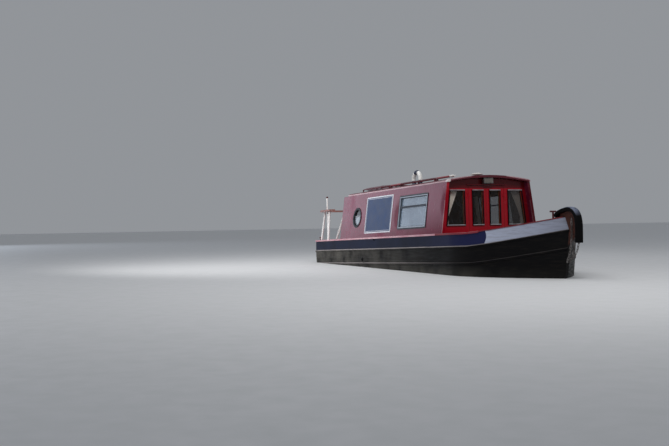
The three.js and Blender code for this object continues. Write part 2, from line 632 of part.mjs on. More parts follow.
function cabinSide() {
  const top = slopeDown(EAVES_Z) + 20;
  const shape = holed(new THREE.Shape(rectangle(CABIN_AFT_X, CABIN_FORE_X, -20, top)),
    windowShape(FRAME_FLANGE, 18), portShape(PORT_R - 26));
  const panel = pushed(shape, WALL).translate(0, 0, -WALL);
  const track = block(
    [WINDOW_X[0] - 40, WINDOW_X[1] + 40], [TRACK_UP, TRACK_UP + 16], [-WALL - 42, -WALL + 2]);
  const slab = block(
    [CABIN_AFT_X - 50, CABIN_FORE_X + 50], [-1100, -600], [GUNWALE_Z + SEAT, EAVES_Z - SEAT]);
  return keptIn(placed(joined(panel, track), onSide), slab);
}

// A flange on the outside of the wall, a lining through it, and a bar across for the hopper.
function windowFrame() {
  const sight = () => windowShape(FRAME_FLANGE + FRAME_BAR, 10);
  const flange = pushed(holed(windowShape(0, 34), sight()), FRAME_PROUD).translate(0, 0, SEAT);
  const lining = pushed(holed(windowShape(FRAME_FLANGE + SEAT, 17.7), sight()), WALL)
    .translate(0, 0, -WALL + 1);
  const inset = FRAME_FLANGE + FRAME_BAR - 2;
  const transom = block(
    [WINDOW_X[0] + inset, WINDOW_X[1] - inset], [TRANSOM_UP - 14, TRANSOM_UP + 14], [SEAT - 22, 4]);
  return placed(joined(flange, lining, transom), onSide);
}

function windowGlass() {
  return placed(pushed(windowShape(FRAME_FLANGE + FRAME_BAR + SEAT, 9.7), 6).translate(0, 0, -28), onSide);
}

function portFrame() {
  const flange = pushed(holed(new THREE.Shape(portShape(PORT_R)), portShape(PORT_R - 40)), 9)
    .translate(0, 0, SEAT);
  const lining = pushed(holed(new THREE.Shape(portShape(PORT_R - 26.4)), portShape(PORT_R - 40)), WALL)
    .translate(0, 0, -WALL + 1);
  return placed(joined(flange, lining), onSide);
}

const portGlass = () =>
  placed(pushed(new THREE.Shape(portShape(PORT_R - 40.4)), 6).translate(0, 0, -24), onSide);

// Roof: a cambered plate with the hatch opening, hatch runners, handrails, boathook rests and a stand
// for the lifebuoy, all welded to it.
const roofTopZ = (y) => ROOF_CROWN_Z - ROOF_CAMBER * (y / ROOF_ARC_HALF) ** 2;
const EAVES_HALF = 803;
const COMPANION_X = [-2406, -1800]; // opening in the roof over the rear doors
const COMPANION_HALF = 330;
const HANDRAILS = [[-200, 1210], [-1840, -570]];
const HANDRAIL_Y = 745;
const RUNNER_Z = 1602;
const RUNNER_FORE_X = -1180;
const HOOK_Y = -600;
const POLE_R = 18;
const RACK_TOP_Z = 1545;
const BUOY_X = -1980;
const BUOY_R = 150;
const BUOY_Y = 520;
const BUOY_TUBE_R = 42;
const BUOY_SEAT_Z = 1567;

function roof() {
  const across = (shares, y) => shares.map((s) => y * s);
  const shares = [1, 0.86, 0.7, 0.52, 0.34, 0.17, 0, -0.17, -0.34, -0.52, -0.7, -0.86, -1];
  const top = across(shares, ROOF_ARC_HALF).map((y) => flat(y, roofTopZ(y)));
  const under = across(shares.slice().reverse(), ROOF_ARC_HALF - 20)
    .map((y) => flat(y, roofTopZ(y) - ROOF_THICK));
  const section = [
    flat(EAVES_HALF, EAVES_Z), flat(EAVES_HALF - 3, EAVES_Z + 24), ...top, flat(3 - EAVES_HALF, EAVES_Z + 24),
    flat(-EAVES_HALF, EAVES_Z), flat(-ROOF_ARC_HALF + 18, EAVES_Z), ...under,
    flat(ROOF_ARC_HALF - 18, EAVES_Z)];
  const plate = crossPrism(section, REAR_BULKHEAD_X - WALL, ROOF_LIP_X);
  const runners = [-1, 1].map((side) => {
    const y = side * (COMPANION_HALF + 24);
    return block([REAR_BULKHEAD_X - WALL, RUNNER_FORE_X], [y - 14, y + 14], [roofTopZ(y) - 8, RUNNER_Z]);
  });
  const racks = [-900, 900].map((x) => block([x - 22, x + 22], [HOOK_Y - 34, HOOK_Y + 34],
    [roofTopZ(HOOK_Y) - 12, RACK_TOP_Z]));
  const stand = block(
    [BUOY_X - 80, BUOY_X + 80], [BUOY_Y - 36, BUOY_Y + 36], [roofTopZ(BUOY_Y) - 12, BUOY_SEAT_Z]);
  const opening = block(
    [COMPANION_X[0] - 60, COMPANION_X[1]], [-COMPANION_HALF, COMPANION_HALF], [1400, 1700]);
  const rails = [-1, 1].flatMap((side) => HANDRAILS.map(([x0, x1]) => handrail(x0, x1, side * HANDRAIL_Y)));
  return cutBy(joined(plate, ...runners, ...racks, stand, ...rails), opening);
}

// Sliding hatch: a curved lid with side flanges that hang outside the runners.
const HATCH_LID_X = [-2462, -1776];

function slidingHatch() {
  const half = COMPANION_HALF + 62;
  const shares = [1, 0.6, 0.2, -0.2, -0.6, -1];
  const lidZ = (y) => RUNNER_Z + 34 - 24 * (y / half) ** 2;
  const top = shares.map((s) => flat(s * half, lidZ(s * half) + 10));
  const under = shares.slice().reverse().map((s) => flat(s * (half - 10), lidZ(s * half) - 1));
  const low = RUNNER_Z - 30;
  const section = [
    flat(half, low), ...top, flat(-half, low), flat(10 - half, low), ...under, flat(half - 10, low)];
  const shell = crossPrism(section, ...HATCH_LID_X);
  const slides = [-1, 1].map((side) => {
    const y = side * (COMPANION_HALF + 24);
    return block(HATCH_LID_X, [y - 14, y + 14], [RUNNER_Z + SEAT, lidZ(y) + 2]);
  });
  return joined(shell, ...slides);
}

function handrail(x0, x1, y) {
  const z = 1549;
  const foot = roofTopZ(y) - 12;
  const path = [
    point(x0, y, z - 22), point(x0 + 26, y, z - 3), point(x0 + 70, y, z), point((x0 + x1) / 2, y, z),
    point(x1 - 70, y, z), point(x1 - 26, y, z - 3), point(x1, y, z - 22)];
  const rail = bar(path, circle(13, 10), 26);
  const count = Math.max(2, Math.round((x1 - x0) / 600) + 1);
  const feet = Array.from({ length: count }, (_, i) => {
    const x = x0 + 14 + ((x1 - x0 - 28) * i) / (count - 1);
    return rod(point(x, y, foot), point(x, y, z - 8), 10, 12);
  });
  return joined(rail, ...feet);
}

function roofVent() {
  const profile = [
    [0, 0], [62, 0], [62, 8], [38, 10], [38, 34], [96, 34], [104, 40], [96, 52], [60, 64], [0, 68]];
  const made = new THREE.LatheGeometry(profile.map(([r, z]) => flat(r, z)), 28);
  return made.rotateX(Math.PI / 2).translate(1250, 0, ROOF_CROWN_Z + SEAT);
}

// A boathook lying in the racks, its pole painted, with a spike and hook on the fore end.
const HOOK_X = 1470;

function boathook() {
  const z = RACK_TOP_Z + POLE_R + SEAT;
  const pole = rod(point(-1250, HOOK_Y, z), point(HOOK_X, HOOK_Y, z), POLE_R, 12);
  const ferrule = rod(point(HOOK_X - 60, HOOK_Y, z), point(HOOK_X + 40, HOOK_Y, z), POLE_R + 3, 12);
  const spike = new THREE.ConeGeometry(14, 110, 12).rotateZ(-Math.PI / 2).translate(HOOK_X + 90, HOOK_Y, z);
  const hook = bar([point(HOOK_X + 20, HOOK_Y - 6, z), point(HOOK_X + 60, HOOK_Y - 28, z),
    point(HOOK_X + 52, HOOK_Y - 60, z), point(HOOK_X + 18, HOOK_Y - 66, z)], circle(9, 8), 12);
  return joined(pole, ferrule, spike, hook);
}

function lifebuoy() {
  const ring = new THREE.TorusGeometry(BUOY_R, BUOY_TUBE_R, 14, 36);
  return ring.rotateX(Math.PI / 2).translate(BUOY_X, BUOY_Y, BUOY_SEAT_Z + BUOY_R + BUOY_TUBE_R + SEAT);
}

// Bulkheads and doors

const DOOR_HALF = 345;
const DOOR_Z = [250, 1400];
const DOOR_GAP = 5;
const DOOR_THICK = 36;
const PANE_Z = [730, 1331];
const DOOR_PANE_Y = [54, 277];
const FRONT_PANE_Y = { inner: 412, outerTop: 702, outerBottom: 778 };
const RIM = 22; // raised window rim

// Hinges: upright barrels just clear of the wall's outer face, the door's between two of the wall's.
const HINGE_R = 8;
const HINGE_OUT = HINGE_R + 0.5; // barrel's centre line from the outer face
const FRONT_HINGE_Z = [420, 1240];
const REAR_HINGE_Z = [790, 1440];

// One side's barrels on a face at x, with the wall or door behind it towards `to`. The middle barrel is
// the door's, and the outer two are the wall's.
function hingeBarrels(x, outwards, y, levels, middle) {
  const centre = x + outwards * HINGE_OUT;
  const leafX = [x - outwards * 2, centre].sort((p, q) => p - q);
  const spans = middle ? [[-24, 24]] : [[-24 - SEAT - 22, -24 - SEAT], [24 + SEAT, 24 + SEAT + 22]];
  return levels.flatMap((z) => spans.map(([low, high]) => {
    const barrel = rod(point(centre, y, z + low), point(centre, y, z + high), HINGE_R, 16);
    const side = Math.sign(y) * (middle ? -1 : 1); // doors lie inboard of their hinges
    const leafY = [y + side * 1, y + side * 34].sort((p, q) => p - q);
    return joined(barrel, block(leafX, leafY, [z + low, z + high]));
  }));
}

// Outline of a bulkhead in (y, z): between the hull sides below the gunwale, and between the cabin
// sides above it, up to the roof.
function bulkheadOutline(lowZ, lowHalf, stepZ) {
  const inner = (z) => sideFaceY(z) - WALL / Math.cos(TUMBLEHOME) - SEAT;
  const shares = [0.9, 0.6, 0.3, 0];
  const arc = shares.map((s) => flat(-s * ROOF_ARC_HALF, roofTopZ(s * ROOF_ARC_HALF) - ROOF_THICK - 6));
  const half = [
    flat(-lowHalf, lowZ), flat(-lowHalf, stepZ), flat(SIDE_HALF, stepZ),
    flat(SIDE_HALF, GUNWALE_Z - GUNWALE_THICK - 1),
    flat(-GUNWALE_HOLE, GUNWALE_Z - GUNWALE_THICK - 1), flat(-GUNWALE_HOLE, GUNWALE_Z + 1),
    flat(-inner(GUNWALE_Z + 1), GUNWALE_Z + 1), flat(-inner(EAVES_Z - 2), EAVES_Z - 2), ...arc];
  return [...half, ...half.slice(0, -1).reverse().map((p) => flat(-p.x, p.y))];
}
const GUNWALE_HOLE = PLATE_HALF_BEAM - 4 - GUNWALE_WIDE - 1;
const SIDE_HALF = 27 - PLATE_HALF_BEAM;

const frontPane = (inset) => [
  flat(-FRONT_PANE_Y.outerBottom + inset, PANE_Z[0] + inset),
  flat(-FRONT_PANE_Y.inner - inset, PANE_Z[0] + inset),
  flat(-FRONT_PANE_Y.inner - inset, PANE_Z[1] - inset),
  flat(-FRONT_PANE_Y.outerTop + inset, PANE_Z[1] - inset)];
const doorPane = (inset) =>
  rectangle(-DOOR_PANE_Y[1] + inset, -DOOR_PANE_Y[0] - inset, PANE_Z[0] + inset, PANE_Z[1] - inset);
const toPort = (outline) => outline.map((p) => flat(-p.x, p.y)).reverse();

function rimAround(outline, inner, x) {
  return crossPrism(holed(new THREE.Shape(outline), inner), x - 4, x + 8);
}

function frontBulkhead() {
  const shape = holed(new THREE.Shape(bulkheadOutline(FLOOR_Z + SEAT, -SIDE_HALF - 8, -200)), frontPane(RIM),
    toPort(frontPane(RIM)), rectangle(-DOOR_HALF, DOOR_HALF, ...DOOR_Z));
  const wall = crossPrism(shape, FRONT_BULKHEAD_X - WALL, FRONT_BULKHEAD_X);
  const rims = [frontPane(0), toPort(frontPane(0))].map((outer, i) =>
    rimAround(outer, i ? toPort(frontPane(RIM)) : frontPane(RIM), FRONT_BULKHEAD_X));
  const dripRail = block(
    [FRONT_BULKHEAD_X - 4, FRONT_BULKHEAD_X + 26], [-DOOR_HALF - 30, DOOR_HALF + 30], [1408, 1420]);
  const back = FRONT_BULKHEAD_X - WALL;
  const tracks = [-1, 1].map((side) => {
    const [a, b] = [side * 400, side * 715].sort((p, q) => p - q);
    return block([back - 44, back + 2], [a, b], [1346, 1362]);
  });
  const hinges = [-1, 1].flatMap((side) =>
    hingeBarrels(FRONT_BULKHEAD_X, 1, side * DOOR_HALF, FRONT_HINGE_Z, false));
  return joined(wall, ...rims, dripRail, ...tracks, ...hinges);
}

const frontGlass = () => crossPrism(frontPane(RIM + SEAT), FRONT_BULKHEAD_X - 24, FRONT_BULKHEAD_X - 18);

function frontDoor() {
  const edge = rectangle(-DOOR_HALF + DOOR_GAP, -DOOR_GAP / 2, DOOR_Z[0] + DOOR_GAP, DOOR_Z[1] - DOOR_GAP);
  const leaf = crossPrism(
    holed(new THREE.Shape(edge), doorPane(RIM)), FRONT_BULKHEAD_X - DOOR_THICK, FRONT_BULKHEAD_X);
  const hinges = hingeBarrels(FRONT_BULKHEAD_X, 1, -DOOR_HALF, FRONT_HINGE_Z, true);
  return joined(leaf, rimAround(doorPane(0), doorPane(RIM), FRONT_BULKHEAD_X), ...hinges);
}

const doorGlass = () => crossPrism(doorPane(RIM + SEAT), FRONT_BULKHEAD_X - 22, FRONT_BULKHEAD_X - 16);

const REAR_DOOR_HALF = 325;
const REAR_DOOR_Z = [660, 1588];

function rearBulkhead() {
  const outline = bulkheadOutline(FLOOR_Z, 830, COUNTER_Z + 10 + SEAT);
  const wall = crossPrism(outline, REAR_BULKHEAD_X - WALL, REAR_BULKHEAD_X);
  const doorway = block([REAR_BULKHEAD_X - 100, REAR_BULKHEAD_X + 50], [-REAR_DOOR_HALF, REAR_DOOR_HALF],
    [REAR_DOOR_Z[0] - DOOR_GAP, 1700]);
  const hinges = [-1, 1].flatMap((side) =>
    hingeBarrels(REAR_BULKHEAD_X - WALL, -1, side * REAR_DOOR_HALF, REAR_HINGE_Z, false));
  return joined(cutBy(wall, doorway), ...hinges);
}

function rearDoor() {
  const edge = rectangle(-REAR_DOOR_HALF + DOOR_GAP, -DOOR_GAP / 2, ...REAR_DOOR_Z);
  const x = REAR_BULKHEAD_X - WALL;
  const leaf = crossPrism(edge, x, x + DOOR_THICK);
  const panel = crossPrism(rectangle(-REAR_DOOR_HALF + 60, -50, 1130, 1500), x - 7, x + 4);
  const lower = crossPrism(rectangle(-REAR_DOOR_HALF + 60, -50, 730, 1060), x - 7, x + 4);
  return joined(leaf, panel, lower, ...hingeBarrels(x, -1, -REAR_DOOR_HALF, REAR_HINGE_Z, true));
}

// Headlamp under the roof's lip, on a bracket from the bulkhead.
function headlamp() {
  const housing = block([1552, 1626], [-90, 90], [1432, 1522]);
  const bracket = block([FRONT_BULKHEAD_X + SEAT, 1556], [-30, 30], [1462, 1500]);
  return joined(housing, bracket);
}

// Rail round one quarter of the stern deck: three leaning posts and the broad board on their heads.
const RAIL_Z = 1200;
const BOARD_HALF = 65;
const RAIL_POSTS = [ // foot x, foot y, head x, head y
  { foot: [-3790, -540], head: [-3765, -320] },
  { foot: [-3690, -912], head: [-3655, -824] },
  { foot: [-3215, -955], head: [-3262, -885] },
];
const STAFF = { x: -3440, y: -860, top: 1478, radius: 16 };
const RAIL_PATH = [[-3770, -285], [-3770, -560], [-3764, -740], [-3680, -858], [-3480, -886], [-3110, -888]];

function sternRail() {
  const posts = RAIL_POSTS.map(({ foot, head }) => {
    const [from, to] = [point(...foot, GUNWALE_Z - 30), point(...head, RAIL_Z)];
    return rod(from, to, 22, 14);
  });
  const under = block([-4000, -3000], [-1100, 0], [GUNWALE_Z - 100, GUNWALE_Z + SEAT]);
  const curve = new THREE.CatmullRomCurve3(RAIL_PATH.map(([x, y]) => point(x, y, 0)), false, "centripetal");
  const edges = [1, -1].map((side) => Array.from({ length: 21 }, (_, i) => {
    const at = curve.getPointAt(i / 20);
    const along = curve.getTangentAt(i / 20);
    return flat(at.x - side * BOARD_HALF * along.y, at.y + side * BOARD_HALF * along.x);
  }));
  const board = planPrism([...edges[0], ...edges[1].reverse()], RAIL_Z - 4, RAIL_Z + 30);
  return cutBy(joined(board, ...posts), under);
}

const staff = () =>
  rod(point(STAFF.x, STAFF.y, GUNWALE_Z + SEAT), point(STAFF.x, STAFF.y, STAFF.top), STAFF.radius, 14);

// Bow fender: a thick strip that rises from the fore deck, bends over the stem head and hangs down
// in front of it.
const FENDER_WIDE = 112;
const FENDER_DEEP = 66;
const FENDER_STEPS = 28;
const FENDER_PATH = [
  [3550, 806], [3640, 851], [3760, 879], [3890, 891], [3995, 856], [4060, 775], [4084, 670], [4085, 560],
  [4078, 390]];

function fenderCurve() {
  return new THREE.CatmullRomCurve3(FENDER_PATH.map(([x, z]) => point(x, 0, z)), false, "centripetal");
}

function bowFender() {
  const round = 16;
  const a = FENDER_WIDE / 2;
  const b = FENDER_DEEP / 2;
  const section = [
    flat(round - a, -b), flat(a - round, -b), flat(a, round - b), flat(a, b - round),
    flat(a - round, b), flat(round - a, b), flat(-a, b - round), flat(-a, round - b)];
  return bar(FENDER_PATH.map(([x, z]) => point(x, 0, z)), section, FENDER_STEPS);
}

addPair("hull_side", hullSide(), black);
addPair("gunwale", gunwale(), red);
add("base_plate", basePlate(), black());
add("swim", swim(), black());
add("skeg", skeg(), black());
add("rudder", rudder(), black());
add("tiller", tiller(), white());
add("tiller_grip", tillerGrip(), wood());
add("propeller", propeller(), metal());
add("stem_post", stemPost(), rust());
add("fore_deck", foreDeck(), red());
add("locker_lid", lockerLid(), red());
add("well_deck", wellDeck(), red());
add("stern_deck", sternDeck(), red());
add("engine_hatch", engineHatch(), metal());
add("engine", engine(), navy());
add("cabin_floor", cabinFloor(), wood());
addPair("cabin_side", cabinSide(), red);
addPair("window_frame", windowFrame(), black);
addPair("window_glass", windowGlass(), glass);
addPair("porthole_frame", portFrame(), black);
addPair("porthole_glass", portGlass(), glass);
add("roof", roof(), red());
add("sliding_hatch", slidingHatch(), red());
add("roof_vent", roofVent(), white());
add("boathook", boathook(), bright());
add("lifebuoy", lifebuoy(), white());
add("front_bulkhead", frontBulkhead(), bright());
addPair("front_glass", frontGlass(), glass);
addPair("front_door", frontDoor(), bright);
addPair("door_glass", doorGlass(), glass);
add("rear_bulkhead", rearBulkhead(), bright());
addPair("rear_door", rearDoor(), bright);
add("headlamp", headlamp(), metal());
add("stern_rail_starboard", joined(sternRail(), staff()), white());
add("stern_rail_port", portOf(sternRail()), white());
add("bow_fender", bowFender(), rubber());

export default boat;
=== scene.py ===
import math
from functools import partial

import bpy
import numpy as np
from mathutils import Matrix


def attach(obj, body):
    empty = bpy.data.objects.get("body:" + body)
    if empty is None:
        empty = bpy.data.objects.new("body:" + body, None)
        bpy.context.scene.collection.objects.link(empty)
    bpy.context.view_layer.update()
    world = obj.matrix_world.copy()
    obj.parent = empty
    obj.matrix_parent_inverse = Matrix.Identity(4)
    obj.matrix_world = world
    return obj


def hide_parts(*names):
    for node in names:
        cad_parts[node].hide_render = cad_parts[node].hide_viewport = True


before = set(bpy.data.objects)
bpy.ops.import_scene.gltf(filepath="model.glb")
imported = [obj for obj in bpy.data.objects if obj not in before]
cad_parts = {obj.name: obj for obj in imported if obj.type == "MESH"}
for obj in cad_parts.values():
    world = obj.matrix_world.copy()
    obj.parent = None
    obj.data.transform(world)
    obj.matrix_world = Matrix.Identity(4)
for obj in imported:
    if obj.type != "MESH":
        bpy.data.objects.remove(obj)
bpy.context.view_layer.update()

scene = bpy.context.scene
scene.view_settings.view_transform = "Standard"

# Camera: its place in metres, its angles in radians and its lens in millimetres

CAMERA_AT = (16.467, -9.000, 0.367)
CAMERA_YAW = 2.7469
CAMERA_PITCH = 0.0273
CAMERA_ROLL = -0.0273
CAMERA_LENS = 55.17

ahead = np.array([
    math.cos(CAMERA_YAW) * math.cos(CAMERA_PITCH),
    math.sin(CAMERA_YAW) * math.cos(CAMERA_PITCH),
    math.sin(CAMERA_PITCH)])
level_right = np.array([math.sin(CAMERA_YAW), -math.cos(CAMERA_YAW), 0.0])
level_up = np.cross(level_right, ahead)
right = math.cos(CAMERA_ROLL) * level_right + math.sin(CAMERA_ROLL) * level_up
up = math.cos(CAMERA_ROLL) * level_up - math.sin(CAMERA_ROLL) * level_right


def stand(made, across, upward, backward, at):
    """Puts a camera or light at a point, with its own three axes along the given directions."""
    rows = np.column_stack([across, upward, backward, at])
    made.matrix_world = Matrix([*rows.tolist(), [0, 0, 0, 1]])
    scene.collection.objects.link(made)


camera = bpy.data.objects.new("camera", bpy.data.cameras.new("camera"))
camera.data.lens = CAMERA_LENS
camera.data.clip_end = 200
stand(camera, right, up, -ahead, CAMERA_AT)
scene.camera = camera

# Sizes shared with the part

TRIM = 0.03664  # slope of the floor past the level boat, which sits a little down by the stern
TUMBLEHOME = math.radians(8.09)
CABIN_BASE_HALF = 0.9216
GUNWALE_Z = 0.600
FRONT_X = 1.530  # fore face of the front bulkhead
REAR_X = -2.445  # aft face of the rear bulkhead
SLANT = math.tan(TUMBLEHOME)
OUTER_SKIN = CABIN_BASE_HALF + GUNWALE_Z * SLANT  # |y| + SLANT * z anywhere on a cabin side
SIDES = ((-1, "starboard"), (1, "port"))
SIGN_HALF = (0.570, 0.3465)
SIGN_MIDDLE = (-0.910, 1.026)
PORTHOLE = (-1.893, 1.007)
WINDOW = ((0.485, 0.5075), (1.0185, 0.2605))  # middle and half of the opening, along and in height
BUOY_AT = (-1.980, 0.520, 1.7593)
BUOY_R = 0.150
BUOY_TUBE_R = 0.042
SHEER_FROM = 2.450  # the bow rises forward of this
SHEER_RUN = 1.350
SHEER_RISE = 0.192
SHEER_POWER = 1.45


def on_side(along, height, out, side):
    """A point of a cabin side from its place along the boat, its height, and how far it stands out."""
    along, height, out = np.broadcast_arrays(along, height, out)
    y = OUTER_SKIN - height * SLANT + out * math.cos(TUMBLEHOME)
    return np.stack([along, side * y, height + out * math.sin(TUMBLEHOME)], axis=-1)


# Meshes

def surface(grid, around=False, along=False, caps=False):
    """Quads between neighbouring points of a grid (rows, columns, 3). `around` joins the last column
    to the first, `along` the last row to the first, and `caps` closes both end rows."""
    rows, columns = grid.shape[:2]
    index = np.arange(rows * columns).reshape(rows, columns)
    if around:
        index = np.hstack([index, index[:, :1]])
    if along:
        index = np.vstack([index, index[:1]])
    quads = np.stack([index[:-1, :-1], index[:-1, 1:], index[1:, 1:], index[1:, :-1]], axis=-1)
    faces = quads.reshape(-1, 4).tolist()
    if caps:
        faces.append(index[0, :columns][::-1].tolist())
        faces.append(index[-1, :columns].tolist())
    return grid.reshape(-1, 3), faces


def mirrored(parts, side):
    """The starboard parts, or their mirror image with the faces turned back."""
    if side < 0:
        return parts
    return [(points * [1, -1, 1], [face[::-1] for face in faces]) for points, faces in parts]


def piece(name, parts, material, body="boat", stands_for=(), flat=None, crease=35):
    """One object from several surfaces, riding on a body. `flat` gives each vertex a UV in metres."""
    shift = np.cumsum([0] + [len(points) for points, _ in parts[:-1]])
    points = np.vstack([points for points, _ in parts])
    faces = [[i + first for i in face] for (_, some), first in zip(parts, shift) for face in some]
    mesh = bpy.data.meshes.new(name)
    mesh.from_pydata(points, [], faces)
    mesh.validate()
    if flat is not None:
        corner = np.empty(len(mesh.loops), int)
        mesh.loops.foreach_get("vertex_index", corner)
        mesh.uv_layers.new(name="UVMap").data.foreach_set("uv", np.asarray(flat)[corner].ravel())
    mesh.shade_smooth()
    mesh.set_sharp_from_angle(angle=math.radians(crease))
    mesh.materials.append(material)
    made = bpy.data.objects.new(name, mesh)
    scene.collection.objects.link(made)
    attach(made, body)
    if stands_for:
        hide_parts(*stands_for)
    return made


def smooth(points, count):
    """A curve through the points: cubic Hermite pieces, with slopes from the neighbouring points and
    the parameter spaced by the root of the chord."""
    p = np.asarray(points, float)
    t = np.concatenate([[0], np.cumsum(np.linalg.norm(np.diff(p, axis=0), axis=1) ** 0.5)])
    slope = np.gradient(p, t, axis=0)
    s = np.linspace(0, t[-1], count)
    i = np.clip(np.searchsorted(t, s, side="right") - 1, 0, len(t) - 2)
    h = (t[i + 1] - t[i])[:, None]
    u = (s - t[i])[:, None] / h
    start = (2 * u**3 - 3 * u**2 + 1) * p[i] + (u**3 - 2 * u**2 + u) * h * slope[i]
    end = (3 * u**2 - 2 * u**3) * p[i + 1] + (u**3 - u**2) * h * slope[i + 1]
    return start + end


def oval(half_wide, half_high, power, count):
    """A closed section |a/A|^n + |b/B|^n = 1, counted round from +a."""
    angle = np.linspace(0, 2 * np.pi, count, endpoint=False)
    c, s = np.cos(angle), np.sin(angle)
    return np.stack([
        half_wide * np.sign(c) * abs(c) ** (2 / power),
        half_high * np.sign(s) * abs(s) ** (2 / power)], axis=1)


def swept(path, section, upwards, closed=False):
    """A section carried along a path: its first number lies to the side of the path and its second
    towards `upwards`, square to the path."""
    path = np.asarray(path, float)
    step = np.roll(path, -1, 0) - np.roll(path, 1, 0) if closed else np.gradient(path, axis=0)
    along = step / np.linalg.norm(step, axis=1, keepdims=True)
    across = np.cross(along, upwards)
    across /= np.linalg.norm(across, axis=1, keepdims=True)
    over = np.cross(across, along)
    grid = path[:, None] + section[None, :, :1] * across[:, None] + section[None, :, 1:] * over[:, None]
    return surface(grid[:, ::-1], around=True, along=closed, caps=not closed)


def turned(profile, at, axis, count=24):
    """A profile of (distance along the axis, radius) turned round an axis through a point."""
    axis = np.asarray(axis, float) / np.linalg.norm(axis)
    first = np.cross(axis, [0.3, 0.5, 0.8])  # any direction that isn't the axis would do
    first /= np.linalg.norm(first)
    second = np.cross(axis, first)
    angle = np.linspace(0, 2 * np.pi, count, endpoint=False)
    spoke = np.cos(angle)[:, None] * first + np.sin(angle)[:, None] * second
    profile = np.asarray(profile, float)
    grid = np.asarray(at) + profile[:, None, :1] * axis + profile[:, None, 1:] * spoke[None]
    return surface(grid, around=True, caps=True)


def screw_heads(places, outwards, radius=0.006, rise=0.003, sunk=0.001):
    """Domed heads: a quarter of an ellipse, up to 1.45 radians, turned about the outward direction at
    each place, on a foot that is sunk a little."""
    angle = np.linspace(0, 1.45, 4)
    profile = np.stack([rise * np.sin(angle), radius * np.cos(angle)], axis=1)
    profile = np.vstack([[-sunk, radius], profile])
    return [turned(profile, at, outwards, 8) for at in places]


def rounded(corners, radius, steps=5):
    """A loop through the corners of a convex outline, each rounded by a quadratic curve that starts
    and ends `radius` from the corner."""
    corners = np.asarray(corners, float)
    before, after = np.roll(corners, 1, 0) - corners, np.roll(corners, -1, 0) - corners
    before *= radius / np.linalg.norm(before, axis=1, keepdims=True)
    after *= radius / np.linalg.norm(after, axis=1, keepdims=True)
    u = np.linspace(0, 1, steps)[None, :, None]
    c = corners[:, None]
    loop = (1 - u) ** 2 * (c + before[:, None]) + 2 * u * (1 - u) * c + u**2 * (c + after[:, None])
    return loop.reshape(-1, corners.shape[1])


def wire_ring(at, radius, wire, axis, start):
    """A ring of round wire about an axis, its points counted from the direction `start`."""
    axis, start = np.asarray(axis, float), np.asarray(start, float)
    angle = np.linspace(0, 2 * np.pi, 24, endpoint=False)[:, None]
    path = np.asarray(at) + radius * (np.cos(angle) * start + np.sin(angle) * np.cross(axis, start))
    return swept(path, oval(wire, wire, 2, 8), axis, closed=True)


# Finishes

def linear(code):
    """An sRGB hex code as linear RGBA."""
    parts = [int(code[i:i + 2], 16) / 255 for i in (1, 3, 5)]
    return (*[v / 12.92 if v <= 0.04045 else ((v + 0.055) / 1.055) ** 2.4 for v in parts], 1.0)


COLOUR = {"give": 2, "data_type": "RGBA"}  # for a Mix of colours, whose sockets are 0 factor, 6 and 7


def put(tree, kind, sockets, give=0, **settings):
    """Adds a node, sets its properties, fills or links its sockets, and gives one of its outputs. A hex
    code fills a colour socket. Map Range's sockets are 0 value, 1 and 2 from, 3 and 4 to."""
    made = tree.nodes.new("ShaderNode" + kind)
    for name, value in settings.items():
        setattr(made, name, value)
    for key, value in sockets.items():
        if isinstance(value, bpy.types.NodeSocket):
            tree.links.new(value, made.inputs[key])
        else:
            made.inputs[key].default_value = linear(value) if isinstance(value, str) else value
    return made.outputs[give]


def finish(name, ior=1.5, metallic=0.0, roughness=0.5, **sockets):
    """A material with its constants set on the shader: gives the material, `put` for its own tree, and
    the Object coordinates."""
    made = bpy.data.materials.new(name)
    made.use_nodes = True
    shader = made.node_tree.nodes["Principled BSDF"].inputs
    sockets.update(IOR=ior, Metallic=metallic, Roughness=roughness)
    for key, value in sockets.items():
        shader[key.replace("_", " ")].default_value = value
    add = partial(put, made.node_tree)
    return made, add, add("TexCoord", {}, "Object")


def feed(made, **sockets):
    """Links what nodes give to the sockets of a material's shader."""
    shader = made.node_tree.nodes["Principled BSDF"].inputs
    for key, value in sockets.items():
        made.node_tree.links.new(value, shader[key.replace("_", " ")])


def dress(made, colour, height, depth, strength=0.5, matt=None, low=0.3, high=0.5):
    """Joins a material's patterns to its shader: its colour, bumps of a depth in metres and a strength,
    and a roughness that runs from low to high with the pattern `matt`."""
    add = partial(put, made.node_tree)
    bump = add("Bump", {"Strength": strength, "Distance": depth, "Height": height}, "Normal")
    feed(made, Base_Color=colour, Normal=bump)
    if matt:
        feed(made, Roughness=add("MapRange", {0: matt, 1: 0.3, 2: 0.7, 3: low, 4: high}))
    return made


def shade(add, pattern, low, high, first, second, most=1.0):
    """The first colour where a pattern is at `low`, turning to a share `most` of the second at `high`."""
    share = add("MapRange", {0: pattern, 1: low, 2: high, 4: most})
    return add("Mix", {0: share, 6: first, 7: second}, **COLOUR)


